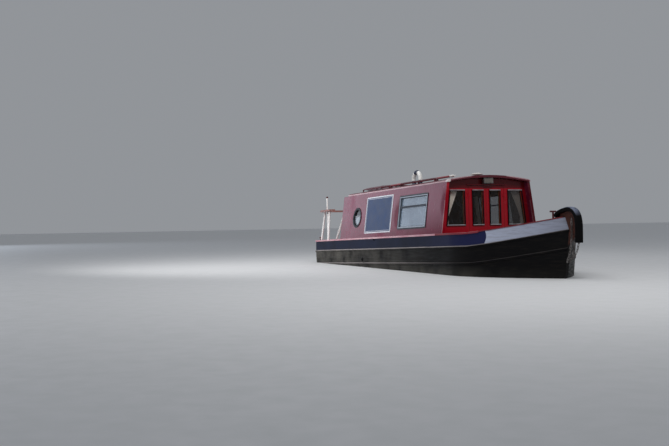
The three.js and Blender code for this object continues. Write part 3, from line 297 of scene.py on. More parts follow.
def coach_enamel(name, fresh, faded, streak, patches, coat=0.35, sheen=0.5, painted_shade_spots=()):
    """Brushed coach enamel on steel plate: glossy, with slow hollows in the plate that bend the
    reflections, faded patches about 0.5 m across, rain streaks 30 to 60 mm apart, and brush marks drawn
    6 mm apart so that they show. Each patch has two tones and lies past all its planes, each a
    direction and a distance; some patches are painted light and shade. It is mirrored in the other side
    of the boat, unless it names its side. In the oval spots of the last argument, as (x, z, half width,
    half height), and towards the foot of a plate that has them, the colour darkens towards a deeper
    tone as painted shade, and the coat and sheen are lowered so that less sky shows in them."""
    made, add, at = finish(name, Coat_Weight=coat, Coat_Roughness=0.12, Specular_IOR_Level=sheen)
    x, y, z = (add("SeparateXYZ", {0: at}, axis) for axis in "XYZ")
    cloud = add("TexNoise", {"Vector": at, "Scale": 2.1, "Detail": 5.0, "Roughness": 0.6})
    tall = add("Mapping", {"Vector": at, "Scale": (26, 26, 1.6)})
    run = add("TexNoise", {"Vector": tall, "Scale": 1.0, "Detail": 3.0})
    dull = add("MapRange", {0: cloud, 1: 0.35, 2: 0.75, 4: 0.7})
    rain = add("MapRange", {0: run, 1: 0.50, 2: 0.78, 4: streak})
    worn = add("Math", {0: dull, 1: rain}, operation="MAXIMUM")
    colour = add("Mix", {0: worn, 6: fresh, 7: faded}, **COLOUR)
    half = add("Math", {0: y}, operation="ABSOLUTE")
    folded = add("CombineXYZ", {0: x, 1: half, 2: z})
    grain = add("Mapping", {"Vector": at, "Scale": (7, 54, 54)})
    grain = add("TexNoise", {"Vector": grain, "Scale": 1.0, "Detail": 6.0, "Distortion": 0.6})
    for planes, dark, light, *side in patches:
        other = add("Mix", {0: grain, 6: dark, 7: light}, **COLOUR)
        inside = 1.0
        for direction, distance in planes:
            place = at if side else folded
            reach = add("VectorMath", {0: place, 1: direction}, "Value", operation="DOT_PRODUCT")
            past = add("Math", {0: reach, 1: distance}, operation="GREATER_THAN")
            inside = add("Math", {0: past, 1: inside}, operation="MULTIPLY")
        colour = add("Mix", {0: inside, 6: colour, 7: other}, **COLOUR)
    # Painted shade: towards the foot of the plate and in the oval spots the colour darkens towards a
    # deeper tone, and the coat and sheen are lowered
    if painted_shade_spots:
        shade_tone, shade_share, shine_left = "#4c0818", 0.35, 0.22
        foot = add("MapRange", {0: z, 1: 1.06, 2: 0.64})
        forward = add("MapRange", {0: x, 1: -2.2, 2: 1.2, 3: 0.45})
        deep = add("Math", {0: foot, 1: forward}, operation="MULTIPLY")
        for middle_x, middle_z, wide, high in painted_shade_spots:
            spot = add("Mapping", {"Vector": at, "Scale": (1 / wide, 0, 1 / high),
                                   "Location": (-middle_x / wide, 0, -middle_z / high)})
            spot = add("VectorMath", {0: spot}, "Value", operation="LENGTH")
            spot = add("MapRange", {0: spot, 1: 1.0, 2: 0.5})
            deep = add("Math", {0: deep, 1: spot}, operation="MAXIMUM")
        colour = shade(add, deep, 0.0, 1.0, colour, shade_tone, shade_share)
        left = [add("MapRange", {0: deep, 3: whole, 4: shine_left * whole}) for whole in (coat, sheen)]
        feed(made, Coat_Weight=left[0], Specular_IOR_Level=left[1])
    brush = add("TexNoise", {"Vector": at, "Scale": 160.0, "Detail": 2.0})
    height = add("Math", {0: cloud, 1: brush}, operation="ADD")
    return dress(made, colour, height, 0.0006, matt=worn, low=0.20, high=0.46)


# The hull's paintwork, in heights that follow the sheer
ENAMEL_Z = 0.3925
BAND_Z = (0.390, 0.590)
PANEL_X = 2.822  # aft edge of the white panel, at the middle of the band
PANEL_BOW = 0.028  # how far further aft that edge is at its two ends
SILT_Z = (0.180, 0.020)  # where the silt begins and where it is whole, over the floor
# Upper edges of the strakes, partly worn steel and partly a painted highlight: height and half width,
# then how the mark fades along the boat, from the place where least of it is left to the place where it
# is whole, and the share that is left
WORN_AND_HIGHLIT_EDGES = ((0.389, 0.008, 3.2, 1.6, 0.20), (0.127, 0.006, 2.2, -0.5, 0.08))


def hull_paint():
    """Bitumen blacking below the upper rubbing strake, and gloss enamel over it: a navy band, then a
    white panel on the bow, darkened towards the stem by painted shade. Blacking dries to a soft sheen
    and shows grey scuffs 0.1 to 0.4 m long, a pale painted sky reflection in patches that grows aft,
    bare worn steel along the strakes that is partly a painted highlight, and a grey-brown silt line at
    its foot."""
    made, add, at = finish("bitumen_blacking_and_enamel_band", Specular_IOR_Level=0.10)
    x, y, z = (add("SeparateXYZ", {0: at}, axis) for axis in "XYZ")
    share = add("MapRange", {0: x, 1: SHEER_FROM, 2: SHEER_FROM + SHEER_RUN}, clamp=False)
    share = add("Math", {0: share, 1: 0.0}, operation="MAXIMUM")
    rise = add("Math", {0: share, 1: SHEER_POWER}, operation="POWER")
    height = add("Math", {0: rise, 1: -SHEER_RISE, 2: z}, operation="MULTIPLY_ADD")
    # Scuffs and run marks in the blacking; a pale painted sky reflection in patches, growing aft; and the
    # silt, which thins out towards both ends
    long = add("Mapping", {"Vector": at, "Scale": (2.2, 2.2, 22)})
    scuff = add("TexNoise", {"Vector": long, "Scale": 2.0, "Detail": 6.0, "Roughness": 0.65})
    cloud = add("TexNoise", {"Vector": at, "Scale": 3.0, "Detail": 6.0})
    black = shade(add, scuff, 0.50, 0.72, "#080709", "#454039", 0.20)
    aft = add("MapRange", {0: x, 1: 1.4, 2: -3.0, 4: 0.75})
    patchy = add("MapRange", {0: cloud, 1: 0.30, 2: 0.60})
    aft = add("Math", {0: aft, 1: patchy}, operation="MULTIPLY")
    black = add("Mix", {0: aft, 6: black, 7: "#6a6761"}, **COLOUR)
    over_floor = add("Math", {0: x, 1: TRIM, 2: z}, operation="MULTIPLY_ADD")
    silt = add("MapRange", {0: over_floor, 1: SILT_Z[0], 2: SILT_Z[1]})
    from_bow = add("MapRange", {0: x, 1: 3.2, 2: 1.8, 3: 0.15})
    from_stern = add("MapRange", {0: x, 1: -2.0, 2: 0.5, 3: 0.3})
    for thinned in (patchy, from_bow, from_stern):
        silt = add("Math", {0: silt, 1: thinned}, operation="MULTIPLY")
    black = add("Mix", {0: silt, 6: black, 7: "#4a4842"}, **COLOUR)
    # Enamel above the upper strake: navy, then the panel, darkened towards the stem by painted shade
    navy = shade(add, cloud, 0.35, 0.80, "#0b1128", "#161f3c")
    navy = shade(add, x, 1.00, 2.40, navy, "#22264a")
    white = shade(add, scuff, 0.45, 0.85, "#b2b9cd", "#8d8d96")
    white = shade(add, x, 2.80, 3.85, white, "#4c4e5c", 0.60)
    arch = add("MapRange", {0: height, 1: BAND_Z[0], 2: BAND_Z[1], 3: -1.0, 4: 1.0})
    arch = add("Math", {0: arch, 1: 2.0}, operation="POWER")
    edge = add("Math", {0: arch, 1: -PANEL_BOW, 2: PANEL_X}, operation="MULTIPLY_ADD")
    beyond = add("Math", {0: x, 1: edge}, operation="GREATER_THAN")
    band = add("Mix", {0: beyond, 6: navy, 7: white}, **COLOUR)
    above = add("Math", {0: height, 1: ENAMEL_Z}, operation="GREATER_THAN")
    colour = add("Mix", {0: above, 6: black, 7: band}, **COLOUR)
    # Worn upper edges of the strakes, and the pale line where the enamel meets the upper one: partly worn
    # steel, partly a painted highlight where they catch the sky
    rubs = add("MapRange", {0: scuff, 1: 0.25, 2: 0.50, 3: 0.25})
    edges = []
    for middle, half, fore, aft, least in WORN_AND_HIGHLIT_EDGES:
        edge = add("Math", {0: height, 1: middle, 2: half}, operation="COMPARE")
        fade_along = add("MapRange", {0: x, 1: fore, 2: aft, 3: least})
        edges.append(add("Math", {0: edge, 1: fade_along}, operation="MULTIPLY"))
    worn = add("Math", {0: edges[0], 1: edges[1]}, operation="MAXIMUM")
    worn = add("Math", {0: worn, 1: rubs}, operation="MULTIPLY")
    colour = add("Mix", {0: worn, 6: colour, 7: "#a39c9c"}, **COLOUR)
    # Inner face, painted as the well deck is
    sideways = add("SeparateXYZ", {0: add("NewGeometry", {}, "Normal")}, "Y")
    inward = add("Math", {0: sideways, 1: y}, operation="MULTIPLY")
    inner = add("Math", {0: inward, 1: -0.001}, operation="LESS_THAN")
    colour = add("Mix", {0: inner, 6: colour, 7: "#6e1420"}, **COLOUR)
    lumps = add("Math", {0: cloud, 1: scuff}, operation="ADD")
    dull = add("Math", {0: above, 1: -0.4, 2: scuff}, operation="MULTIPLY_ADD")
    return dress(made, colour, lumps, 0.0015, 0.6, matt=dull, low=0.30, high=0.74)


def paint(name, tone, patch, roughness, grain, depth, rust=0.0):
    """Brushed or moulded finish with patches of a second tone, a grain of a size in metres, and, where
    it is chipped, rust spots some 10 mm across."""
    made, add, at = finish(name)
    cloud = add("TexNoise", {"Vector": at, "Scale": 5.0, "Detail": 5.0})
    colour = shade(add, cloud, 0.35, 0.75, tone, patch)
    if rust:
        chip = add("TexNoise", {"Vector": at, "Scale": 45.0, "Detail": 4.0})
        colour = shade(add, chip, 0.66, 0.70, colour, "#5a3526", rust)
    grit = add("TexNoise", {"Vector": at, "Scale": 1 / grain, "Detail": 2.0})
    return dress(made, colour, grit, depth, 0.6,
                 matt=cloud, low=roughness - 0.06, high=roughness + 0.10)


def two_paints(name, tone, other, where, roughness=0.35, rubbed=0.35):
    """Gloss enamel in two colours, rubbed through in spots 0.1 m across: the second lies within the
    bounds of `where`, as (axis, low, high)."""
    made, add, at = finish(name, Coat_Weight=0.2, Coat_Roughness=0.15)
    cloud = add("TexNoise", {"Vector": at, "Scale": 9.0, "Detail": 5.0})
    inside = 1.0
    for axis, low, high in where:
        value = add("SeparateXYZ", {0: at}, axis)
        value = add("Math", {0: value, 1: (low + high) / 2, 2: (high - low) / 2}, operation="COMPARE")
        inside = add("Math", {0: value, 1: inside}, operation="MULTIPLY")
    colour = add("Mix", {0: inside, 6: tone, 7: other}, **COLOUR)
    colour = shade(add, cloud, 0.58, 0.75, colour, "#8d8580", rubbed)
    return dress(made, colour, cloud, 0.0008, 0.4,
                 matt=cloud, low=roughness - 0.08, high=roughness + 0.12)


def timber(name, dark, light, along, roughness):
    """Sawn or turned timber, varnished, with grain that runs along one axis. `along` has the bands of
    grain to the metre on each axis: 60 are 17 mm apart, and 200 are 5 mm."""
    made, add, at = finish(name, roughness=roughness)
    stretched = add("Mapping", {"Vector": at, "Scale": along})
    line = add("TexNoise", {"Vector": stretched, "Scale": 1.0, "Detail": 6.0, "Distortion": 0.4})
    colour = shade(add, line, 0.30, 0.70, dark, light)
    return dress(made, colour, line, 0.0005, 0.4)


REVEAL_BEHIND = 0.003
BEAD_WIDE = 0.016
BEAD_LAP = 0.001


def bare_metal(name, tone, tarnish, roughness, stretch=(1, 1, 1), reveal=None):
    """Bare or plated metal, dulled in patches some 70 mm across, with fine lines along the way it was
    drawn or brushed, 3 mm apart so that they show. A window's reveal, more than 3 mm behind the skin,
    and a bead 16 mm wide round it have another tone."""
    made, add, at = finish(name, metallic=1.0)
    cloud = add("TexNoise", {"Vector": at, "Scale": 14.0, "Detail": 5.0})
    colour = shade(add, cloud, 0.35, 0.75, tone, tarnish)
    if reveal:
        x, y, z = (add("SeparateXYZ", {0: at}, axis) for axis in "XYZ")
        half = add("Math", {0: y}, operation="ABSOLUTE")
        skin = add("Math", {0: z, 1: SLANT, 2: half}, operation="MULTIPLY_ADD")
        behind = add("Math", {0: skin, 1: OUTER_SKIN - REVEAL_BEHIND}, operation="LESS_THAN")
        boxes = []
        for grow in (BEAD_WIDE, -BEAD_LAP):
            along, tall = (add("Math", {0: place, 1: middle, 2: reach + grow}, operation="COMPARE")
                           for place, (middle, reach) in zip((x, z), WINDOW))
            boxes.append(add("Math", {0: along, 1: tall}, operation="MULTIPLY"))
        bead = add("Math", {0: boxes[0], 1: boxes[1]}, operation="SUBTRACT")
        pale = add("Math", {0: behind, 1: bead}, operation="MAXIMUM")
        colour = add("Mix", {0: pale, 6: colour, 7: reveal}, **COLOUR)
    lines = add("Mapping", {"Vector": at, "Scale": stretch})
    lines = add("TexNoise", {"Vector": lines, "Scale": 320.0, "Detail": 2.0})
    return dress(made, colour, lines, 0.0002, 0.3,
                 matt=lines, low=roughness - 0.06, high=roughness + 0.14)


def float_glass(name, tint, dust_and_sky_tone, alpha, hopper=None):
    """Toughened float glass: clear, with a film of dust that hazes it in patches 0.25 m across; on the
    side panes and the porthole its two tones are pale blue, a painted sky reflection. Above the height
    `hopper` the pane leans in and mirrors no sky, and is painted near black."""
    made, add, at = finish(name, ior=1.52, Alpha=alpha, Coat_Weight=1.0, Coat_Roughness=0.03)
    if hopper:
        height = add("SeparateXYZ", {0: at}, "Z")
        facing = add("Math", {0: height, 1: hopper}, operation="LESS_THAN")
        feed(made, Coat_Weight=facing)
    film = add("TexNoise", {"Vector": at, "Scale": 4.0, "Detail": 4.0})
    colour = shade(add, film, 0.30, 0.80, tint, dust_and_sky_tone)
    if hopper:
        colour = add("Mix", {0: facing, 6: "#0c0d0f", 7: colour}, **COLOUR)
    return dress(made, colour, film, 0.0001, 0.1, matt=film, low=0.05, high=0.14)


def curtain_cotton():
    """Woven cotton: warp and weft threads, drawn 8 mm apart so that they show, on the cloth's UV."""
    made, add, _ = finish("woven_cream_cotton", ior=1.45, roughness=0.85, Sheen_Weight=0.6)
    cloth = add("TexCoord", {}, "UV")
    warp = add("TexWave", {"Vector": cloth, "Scale": 40.0}, "Fac", bands_direction="X")
    weft = add("TexWave", {"Vector": cloth, "Scale": 40.0}, "Fac", bands_direction="Y")
    weave = add("Math", {0: warp, 1: weft}, operation="MULTIPLY")
    colour = add("Mix", {0: weave, 6: "#e6ddd2", 7: "#faf6ee"}, **COLOUR)
    return dress(made, colour, weave, 0.0008)


def fender_rubber():
    """Moulded black rubber, with a pale bluish painted sky reflection in patches 90 mm across on what
    faces the sky, and pits drawn 4 mm wide so that they show."""
    made, add, at = finish("moulded_black_rubber", ior=1.52, Specular_IOR_Level=0.08)
    cloud = add("TexNoise", {"Vector": at, "Scale": 11.0, "Detail": 6.0})
    # Painted sky reflection: a pale bluish tone on the upward faces, in patches
    facing = add("SeparateXYZ", {0: add("NewGeometry", {}, "Normal")}, "Z")
    facing = add("MapRange", {0: facing, 1: 0.4, 2: 1.0})
    sheen_patches = add("MapRange", {0: cloud, 1: 0.2, 2: 0.7})
    sky_sheen = add("Math", {0: facing, 1: sheen_patches}, operation="MULTIPLY")
    colour = add("Mix", {0: sky_sheen, 6: "#060607", 7: "#949eb8"}, **COLOUR)
    pits = add("TexNoise", {"Vector": at, "Scale": 260.0, "Detail": 3.0})
    return dress(made, colour, pits, 0.0008, matt=cloud, low=0.55, high=0.80)


def rusted_steel():
    """Rolled steel bar, once painted: brown rust in flakes of 5 to 20 mm with dark bruises, and
    blacking up to the upper rubbing strake."""
    made, add, at = finish("rusted_rolled_steel", roughness=0.8, Specular_IOR_Level=0.3)
    flake = add("TexNoise", {"Vector": at, "Scale": 55.0, "Detail": 8.0, "Roughness": 0.7})
    patch = add("TexNoise", {"Vector": at, "Scale": 9.0, "Detail": 5.0})
    rust = shade(add, flake, 0.35, 0.65, "#241412", "#5c3226")
    colour = shade(add, patch, 0.52, 0.66, rust, "#1d191b")
    height = add("SeparateXYZ", {0: at}, "Z")
    height = add("Math", {0: patch, 1: 0.12, 2: height}, operation="MULTIPLY_ADD")
    colour = shade(add, height, 0.46, 0.40, colour, "#0f0d0e")
    return dress(made, colour, flake, 0.002, 0.7)


def tread_plate():
    """Rolled aluminium tread plate: raised bars 20 mm apart, turned square in every other check of
    30 mm."""
    made, add, at = finish("rolled_aluminium_tread_plate", metallic=1.0, roughness=0.42)
    checks = add("TexChecker", {"Vector": at, "Scale": 33.0}, "Fac")
    bars = add("TexWave", {"Vector": at, "Scale": 16.0}, "Fac", bands_direction="X")
    across = add("TexWave", {"Vector": at, "Scale": 16.0}, "Fac", bands_direction="Y")
    raised = add("Mix", {0: checks, 2: bars, 3: across}, 0, data_type="FLOAT")
    raised = add("MapRange", {0: raised, 1: 0.7, 2: 0.9})
    colour = add("Mix", {0: raised, 6: "#6d6f72", 7: "#b2b4b6"}, **COLOUR)
    return dress(made, colour, raised, 0.002, 0.8)


def sign_enamel():
    """Painted sheet sign: a plain navy field, a white edge 22 mm wide and a fine inner line 40 mm in,
    laid out on a UV in metres from the board's middle."""
    made, add, _ = finish("painted_sheet_sign", Specular_IOR_Level=0.3)
    flat = add("TexCoord", {}, "UV")
    past = []
    for axis, half in zip("XY", SIGN_HALF):
        reach = add("SeparateXYZ", {0: flat}, axis)
        reach = add("Math", {0: reach}, operation="ABSOLUTE")
        past.append(add("Math", {0: reach, 1: half}, operation="SUBTRACT"))
    inset = add("Math", {0: past[0], 1: past[1]}, operation="MAXIMUM")
    rim = add("Math", {0: inset, 1: -0.022}, operation="GREATER_THAN")
    line = add("Math", {0: inset, 1: -0.040, 2: 0.003}, operation="COMPARE")
    white = add("Math", {0: rim, 1: line}, operation="MAXIMUM")
    fade = add("TexNoise", {"Vector": flat, "Scale": 5.0, "Detail": 5.0})
    field = shade(add, fade, 0.30, 0.80, "#1c3158", "#314872")
    colour = add("Mix", {0: white, 6: field, 7: "#dfe2ea"}, **COLOUR)
    return dress(made, colour, fade, 0.0003, 0.3, matt=fade, low=0.28, high=0.42)


def buoy_skin():
    """Moulded polyethylene float, white with three navy bands of 50 degrees, one at the crown. The
    bands lie where the sine of three times the angle round the ring is lowest."""
    made, add, at = finish("moulded_polyethylene_float", ior=1.51)
    about = add("Mapping", {"Vector": at, "Location": (-BUOY_AT[0], 0, -BUOY_AT[2])})
    x, z = (add("SeparateXYZ", {0: about}, axis) for axis in "XZ")
    angle = add("Math", {0: z, 1: x}, operation="ARCTAN2")
    thrice = add("Math", {0: angle, 1: 3.0}, operation="MULTIPLY")
    wave = add("Math", {0: thrice}, operation="SINE")
    navy = add("Math", {0: wave, 1: -0.25}, operation="LESS_THAN")
    soil = add("TexNoise", {"Vector": at, "Scale": 12.0, "Detail": 5.0})
    pale = shade(add, soil, 0.40, 0.90, "#f0f0ee", "#b4b2ab")
    colour = add("Mix", {0: navy, 6: pale, 7: "#1c2440"}, **COLOUR)
    skin = add("TexNoise", {"Vector": at, "Scale": 180.0})
    return dress(made, colour, skin, 0.0004, 0.4, matt=soil, low=0.34, high=0.50)


VENEER = ("#4a3422", "#8a6a48")
PINK = ("#8a4656", "#d8bcc0")
# Where patches of another paint and of painted light and shade lie: past all of these planes, each a
# direction and a distance
LINING = 0.045  # from a bulkhead's outer face to the cabin's inside
SHEET = 0.0025  # depth of a bulkhead's outer paint
in_cabin = (((-1, 0, 0), LINING - FRONT_X), ((1, 0, 0), REAR_X + LINING),
            ((0, -1, -SLANT), 0.030 - OUTER_SKIN))
fore_end = (((1, 0, 0), 1.6385),)
# Painted shade: the fore edge of the port cabin side is dark red
port_fore_end = (*fore_end, ((0, 1, 0), 0.0))
# Painted shade: the port end of the front bulkhead is a darker red
port_end = (((0, 1, SLANT), OUTER_SKIN - 0.115),)
bulwark = (((1, 0, 0), 1.600),)
# Painted highlight: a pale pink streak down the front corner of each cabin side
painted_corner_highlight = (((1, 0.04, 0), 1.656), ((0, 0, -1), -1.150))
# Pale pink on the roof's eaves edge: partly bleached paint, partly a painted sky reflection
eaves = (((0, 0, -1), -1.4805), ((0, 1, 0), 0.785))
front_edge = (((1, 0, 0), 1.650), ((0, 0.136, 1), 1.591), ((0, 1, 0), 0.330))
front_corner = (((1, 0, 0), 1.595), ((0, -1, 0), 0.740))
# Painted shadow of the roof's overhang on the head of the front bulkhead
under_roof = (((0, 0, 1), 1.352),)
behind_front = (((-1, 0, 0), SHEET - FRONT_X),)
ahead_of_rear = (((1, 0, 0), REAR_X + SHEET),)

side_enamel = coach_enamel(
    "maroon_coach_enamel_sides", "#6c0c2d", "#8a3e5a", 0.65,
    [(in_cabin, *VENEER), (painted_corner_highlight, *PINK), (fore_end, "#b4061e", "#a00c20"),
     (port_fore_end, "#4a0814", "#5c0c1a", "port")],
    0.14, 0.38, painted_shade_spots=[(-0.110, 0.960, 0.190, 0.340), (1.600, 1.100, 0.140, 0.300)])
roof_enamel = coach_enamel(
    "maroon_coach_enamel_roof", "#54101e", "#62202e", 0.3,
    [(eaves, *PINK), (front_edge, *PINK), (front_corner, "#cfc3c6", "#efeaea", "starboard")],
    0.15, 0.40)
front_enamel = coach_enamel(
    "red_coach_enamel_front", "#ac041c", "#960a1e", 0.2,
    [(port_end, "#780616", "#660814", "port"), (under_roof, "#6e0814", "#560810"),
     (behind_front, *VENEER)],
    0.10, 0.25)
rear_enamel = coach_enamel(
    "red_coach_enamel_rear", "#850f1c", "#70202a", 0.2, [(ahead_of_rear, *VENEER)])
# The gunwale rim's pale pink is a painted sky reflection on its red paint; forward of x = 1.6 it keeps
# the red's own tone
gunwale_enamel = coach_enamel(
    "red_gunwale_enamel_painted_sky_reflection", "#cc8898", "#f8dee3", 0.6, [(bulwark, "#74121f", "#94303f")])
blacking = hull_paint()

# Two tones, roughness, size of the grain and its depth in metres, and how much of the rust shows
deck_paint = paint("gritted_red_deck_paint", "#6e1620", "#8a4a4e", 0.62, 0.003, 0.0012, 0.5)
dark_steel = paint("bitumen_blacking_underwater", "#131214", "#2c2a28", 0.55, 0.02, 0.0015, 0.4)
white_gloss = paint("white_gloss_enamel_chipped", "#e2e0de", "#bdb8b4", 0.32, 0.03, 0.0005, 0.3)
engine_paint = paint("engine_enamel_blue_grey", "#2c4452", "#22333d", 0.4, 0.02, 0.001)
lens_glass = paint("ribbed_lamp_glass", "#7c7871", "#54514c", 0.12, 0.008, 0.0015)
fittings_red = paint("dark_red_gloss_fittings", "#5c0d16", "#3c0a10", 0.35, 0.01, 0.0004, 0.3)
seal_rubber = paint("extruded_rubber_glazing_seal", "#0f0f11", "#1c1c1e", 0.6, 0.004, 0.0003)
rust_steel = rusted_steel()
rubber = fender_rubber()

# The metal's tone, its tarnish, its roughness, and how its lines are drawn out on each axis
bronze = bare_metal("cast_manganese_bronze", "#8a6a3a", "#5a4a30", 0.35)
brass = bare_metal("cast_brass_fittings", "#a8843f", "#6f5a32", 0.32)
chain_metal = bare_metal("galvanised_chain_weathered", "#a19c9a", "#332b29", 0.5)
zinc = bare_metal("zinc_plated_steel", "#8f8f8d", "#5f5d5a", 0.42)
lamp_metal = bare_metal("chromed_lamp_shell", "#a3a3a0", "#6b6964", 0.22)
frame_metal = bare_metal("anodised_aluminium_weathered", "#44464c", "#2b2c31", 0.38, (1, 1, 8))
window_metal = bare_metal(
    "anodised_aluminium_pale_reveal", "#4c4e55", "#35363b", 0.38, (1, 1, 8), "#b9bec6")
dark_trim = bare_metal("black_anodised_window_trim", "#1b1a1c", "#2c2b2c", 0.35)
light_trim = bare_metal("mill_finish_aluminium_bar", "#d0cfd2", "#9b9a9c", 0.4, (1, 8, 8))

plywood = timber("varnished_floor_plywood", "#6b4a2c", "#a07a4c", (6, 60, 60), 0.45)
grip_wood = timber("turned_varnished_ash", "#5a3218", "#9a6234", (40, 200, 200), 0.25)
tread = tread_plate()

# Two tones of the pane and its dust, pale blue on the side panes and porthole as a painted sky
# reflection, how opaque it is, and the height over which it leans in
side_glass = float_glass("toughened_glass_side", "#6e849d", "#9fb4ca", 0.50)
port_glass = float_glass("toughened_glass_porthole", "#7c8692", "#9aa5b2", 0.80, 1.045)
front_glass = float_glass("toughened_glass_front", "#3a3532", "#5c5754", 0.10)
# Painted shade: the port front pane is darker and less clear, which dims the curtain behind it
shaded_port_glass = float_glass("toughened_glass_front_port_shaded", "#1c1614", "#2c2422", 0.42)
cotton = curtain_cotton()
buoy_plastic = buoy_skin()

# Bounds of the second paint on the stud, on the boathook's hook and on the rails' boards
STUD = (("X", 3.380, 3.520), ("Y", -0.070, 0.070), ("Z", 0.690, 1.000))
HOOK = (("X", 1.405, 1.700), ("Y", -1.000, 0.000), ("Z", 1.000, 2.000))
RAIL_BOARD = (("X", -4.200, -3.000), ("Y", -1.200, 1.200), ("Z", 1.1955, 1.240))
stud_deck = two_paints("gritted_red_deck_and_stud", "#74141f", "#4d0c14", STUD, roughness=0.5)
pole_paint = two_paints("boathook_red_pole_white_hook", "#8b1022", "#eceae6", HOOK)
near_rail = two_paints("rail_white_posts_brown_board", "#f2f0ef", "#9a6e68", RAIL_BOARD, rubbed=0.1)
far_rail = two_paints("rail_white_posts_red_board", "#f2f0ef", "#8e1c2c", RAIL_BOARD, rubbed=0.1)

# The finish of each node of the part, and of each pair of nodes, without the side in their names
NODE_FINISHES = {
    "base_plate": dark_steel, "swim": dark_steel, "skeg": dark_steel, "rudder": dark_steel,
    "tiller": white_gloss, "tiller_grip": grip_wood, "propeller": bronze, "stem_post": rust_steel,
    "fore_deck": stud_deck, "locker_lid": deck_paint, "well_deck": deck_paint, "stern_deck": deck_paint,
    "engine_hatch": tread, "engine": engine_paint, "cabin_floor": plywood,
    "roof": roof_enamel, "sliding_hatch": roof_enamel, "roof_vent": white_gloss, "boathook": pole_paint,
    "front_bulkhead": front_enamel, "rear_bulkhead": rear_enamel, "headlamp": lamp_metal,
    "stern_rail_starboard": near_rail, "stern_rail_port": far_rail,
    "lifebuoy": buoy_plastic, "bow_fender": rubber,
}
PAIR_FINISHES = {
    "hull_side": blacking, "gunwale": gunwale_enamel, "cabin_side": side_enamel,
    "window_frame": window_metal, "window_glass": side_glass,
    "porthole_frame": frame_metal, "porthole_glass": port_glass,
    "front_glass": front_glass, "door_glass": front_glass, "front_door": front_enamel,
    "rear_door": rear_enamel,
}
for _, word in SIDES:
    NODE_FINISHES.update({f"{node}_{word}": material for node, material in PAIR_FINISHES.items()})
NODE_FINISHES["front_glass_port"] = shaded_port_glass
for node, material in NODE_FINISHES.items():
    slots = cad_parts[node].data.materials
    slots.clear()
    slots.append(material)

# Hull sides

HALF_LENGTH = 3.860
HALF_BEAM = 1.025
CORNER_R = 0.160
COUNTER_Z = 0.040
SWIM_X = -2.000
BOW_X = 2.030
BOW_POWER = 1.85
STEM_HALF = 0.015
# Levels of the plating: height, how far inboard, reach at the stem, share of the sheer.
LEVELS = np.array([
    [-0.465, 0.020, 3.250, 0.00], [-0.330, 0.015, 3.560, 0.10], [-0.150, 0.011, 3.735, 0.45],
    [0.091, 0.005, 3.805, 1], [0.097, -0.010, 3.820, 1],
    [0.125, -0.010, 3.822, 1], [0.131, 0.005, 3.811, 1],
    [0.352, 0.000, 3.860, 1], [0.358, -0.015, 3.875, 1],
    [0.386, -0.015, 3.873, 1], [0.392, 0.000, 3.858, 1],
    [0.586, 0.004, 3.780, 1]])
INNER = [11, 10, 7, 6, 3, 2, 1, 0]  # the levels that the inner face has, from the top down
PLATE = 0.010
# Stations along the transom, round the quarter, along the swim and the side, and round the bow
TRANSOM_N, QUARTER_N, SWIM_N, SIDE_N, BOW_N = 5, 19, 8, 20, 72
AFT_OF_SWIM = TRANSOM_N + QUARTER_N + SWIM_N  # over the swim, where the plating ends at the counter
QUARTER_X = -3.500  # where the straight side begins
SWIM_STEP = 0.012  # length over which the plating drops from the counter to its full depth
SIDE_END = 0.100  # from the side's last station to the bow's first
APART = 0.003  # keeps the levels apart where they end at the counter


def sheer(x):
    """Rise of the gunwale: a height times ((x - start) / run) to a power, forward of its start."""
    return SHEER_RISE * (np.maximum(0, x - SHEER_FROM) / SHEER_RUN) ** SHEER_POWER


def plating(levels, inwards, last=1.0):
    """Points of the starboard plating at each station (rows) and level (columns), moved inwards: across
    the transom, round the quarter, along the side, and round the bow, where the half-width falls from
    the full beam as 1 - t^1.85, t being the share of the way to the stem."""
    z, inboard, stem, lift = levels.T
    turn = np.radians(np.linspace(180, 90, QUARTER_N))
    out = np.stack([np.cos(turn), -np.sin(turn)], 1)
    corner = np.array([CORNER_R - HALF_LENGTH, CORNER_R - HALF_BEAM]) + CORNER_R * out
    across = np.linspace(0, CORNER_R - HALF_BEAM, TRANSOM_N + 1)[:-1]
    transom = np.stack([np.full(TRANSOM_N, -HALF_LENGTH), across], 1)
    along = np.concatenate([
        np.linspace(QUARTER_X, SWIM_X - SWIM_STEP, SWIM_N),
        np.linspace(SWIM_X, BOW_X - SIDE_END, SIDE_N)])
    straight = np.stack([along, np.full(len(along), -HALF_BEAM)], 1)
    plan = np.vstack([transom, corner, straight])
    face = np.vstack([np.tile([-1.0, 0.0], (TRANSOM_N, 1)), out, np.tile([0.0, -1.0], (len(along), 1))])
    at = plan[:, None] - face[:, None] * (inboard + inwards)[None, :, None]
    order = np.array([np.abs(LEVELS[:, 0] - h).argmin() for h in z])
    floor = np.where(np.arange(len(plan)) < AFT_OF_SWIM, COUNTER_Z, -np.inf)[:, None] + APART * order
    aft = np.dstack([at[..., 0], np.minimum(at[..., 1], 0), np.maximum(z[None], floor)])
    t = np.linspace(0, last, BOW_N)[:, None]
    reach = stem[None] - BOW_X
    x = BOW_X + reach * t
    half = STEM_HALF + (HALF_BEAM - inboard[None] - STEM_HALF) * (1 - t**BOW_POWER)
    slope = (HALF_BEAM - STEM_HALF) * BOW_POWER * t ** (BOW_POWER - 1) / reach
    norm = np.hypot(slope, 1)
    x, y = x - slope / norm * inwards, -half + inwards / norm
    fore = np.dstack([x, np.minimum(y, -STEM_HALF), z[None] + lift[None] * sheer(x)])
    return np.vstack([aft, fore])


inner_in = PLATE + np.minimum(LEVELS[INNER, 1], 0)
outer_face = plating(LEVELS, np.zeros(len(LEVELS)))
inner_face = plating(LEVELS[INNER], inner_in)
hull_ring = np.concatenate([outer_face, inner_face], axis=1)
hull_part = surface(hull_ring[:, ::-1], around=True, caps=True)

DECK_SHARE = 0.3794  # share of the bow at which the fore deck begins
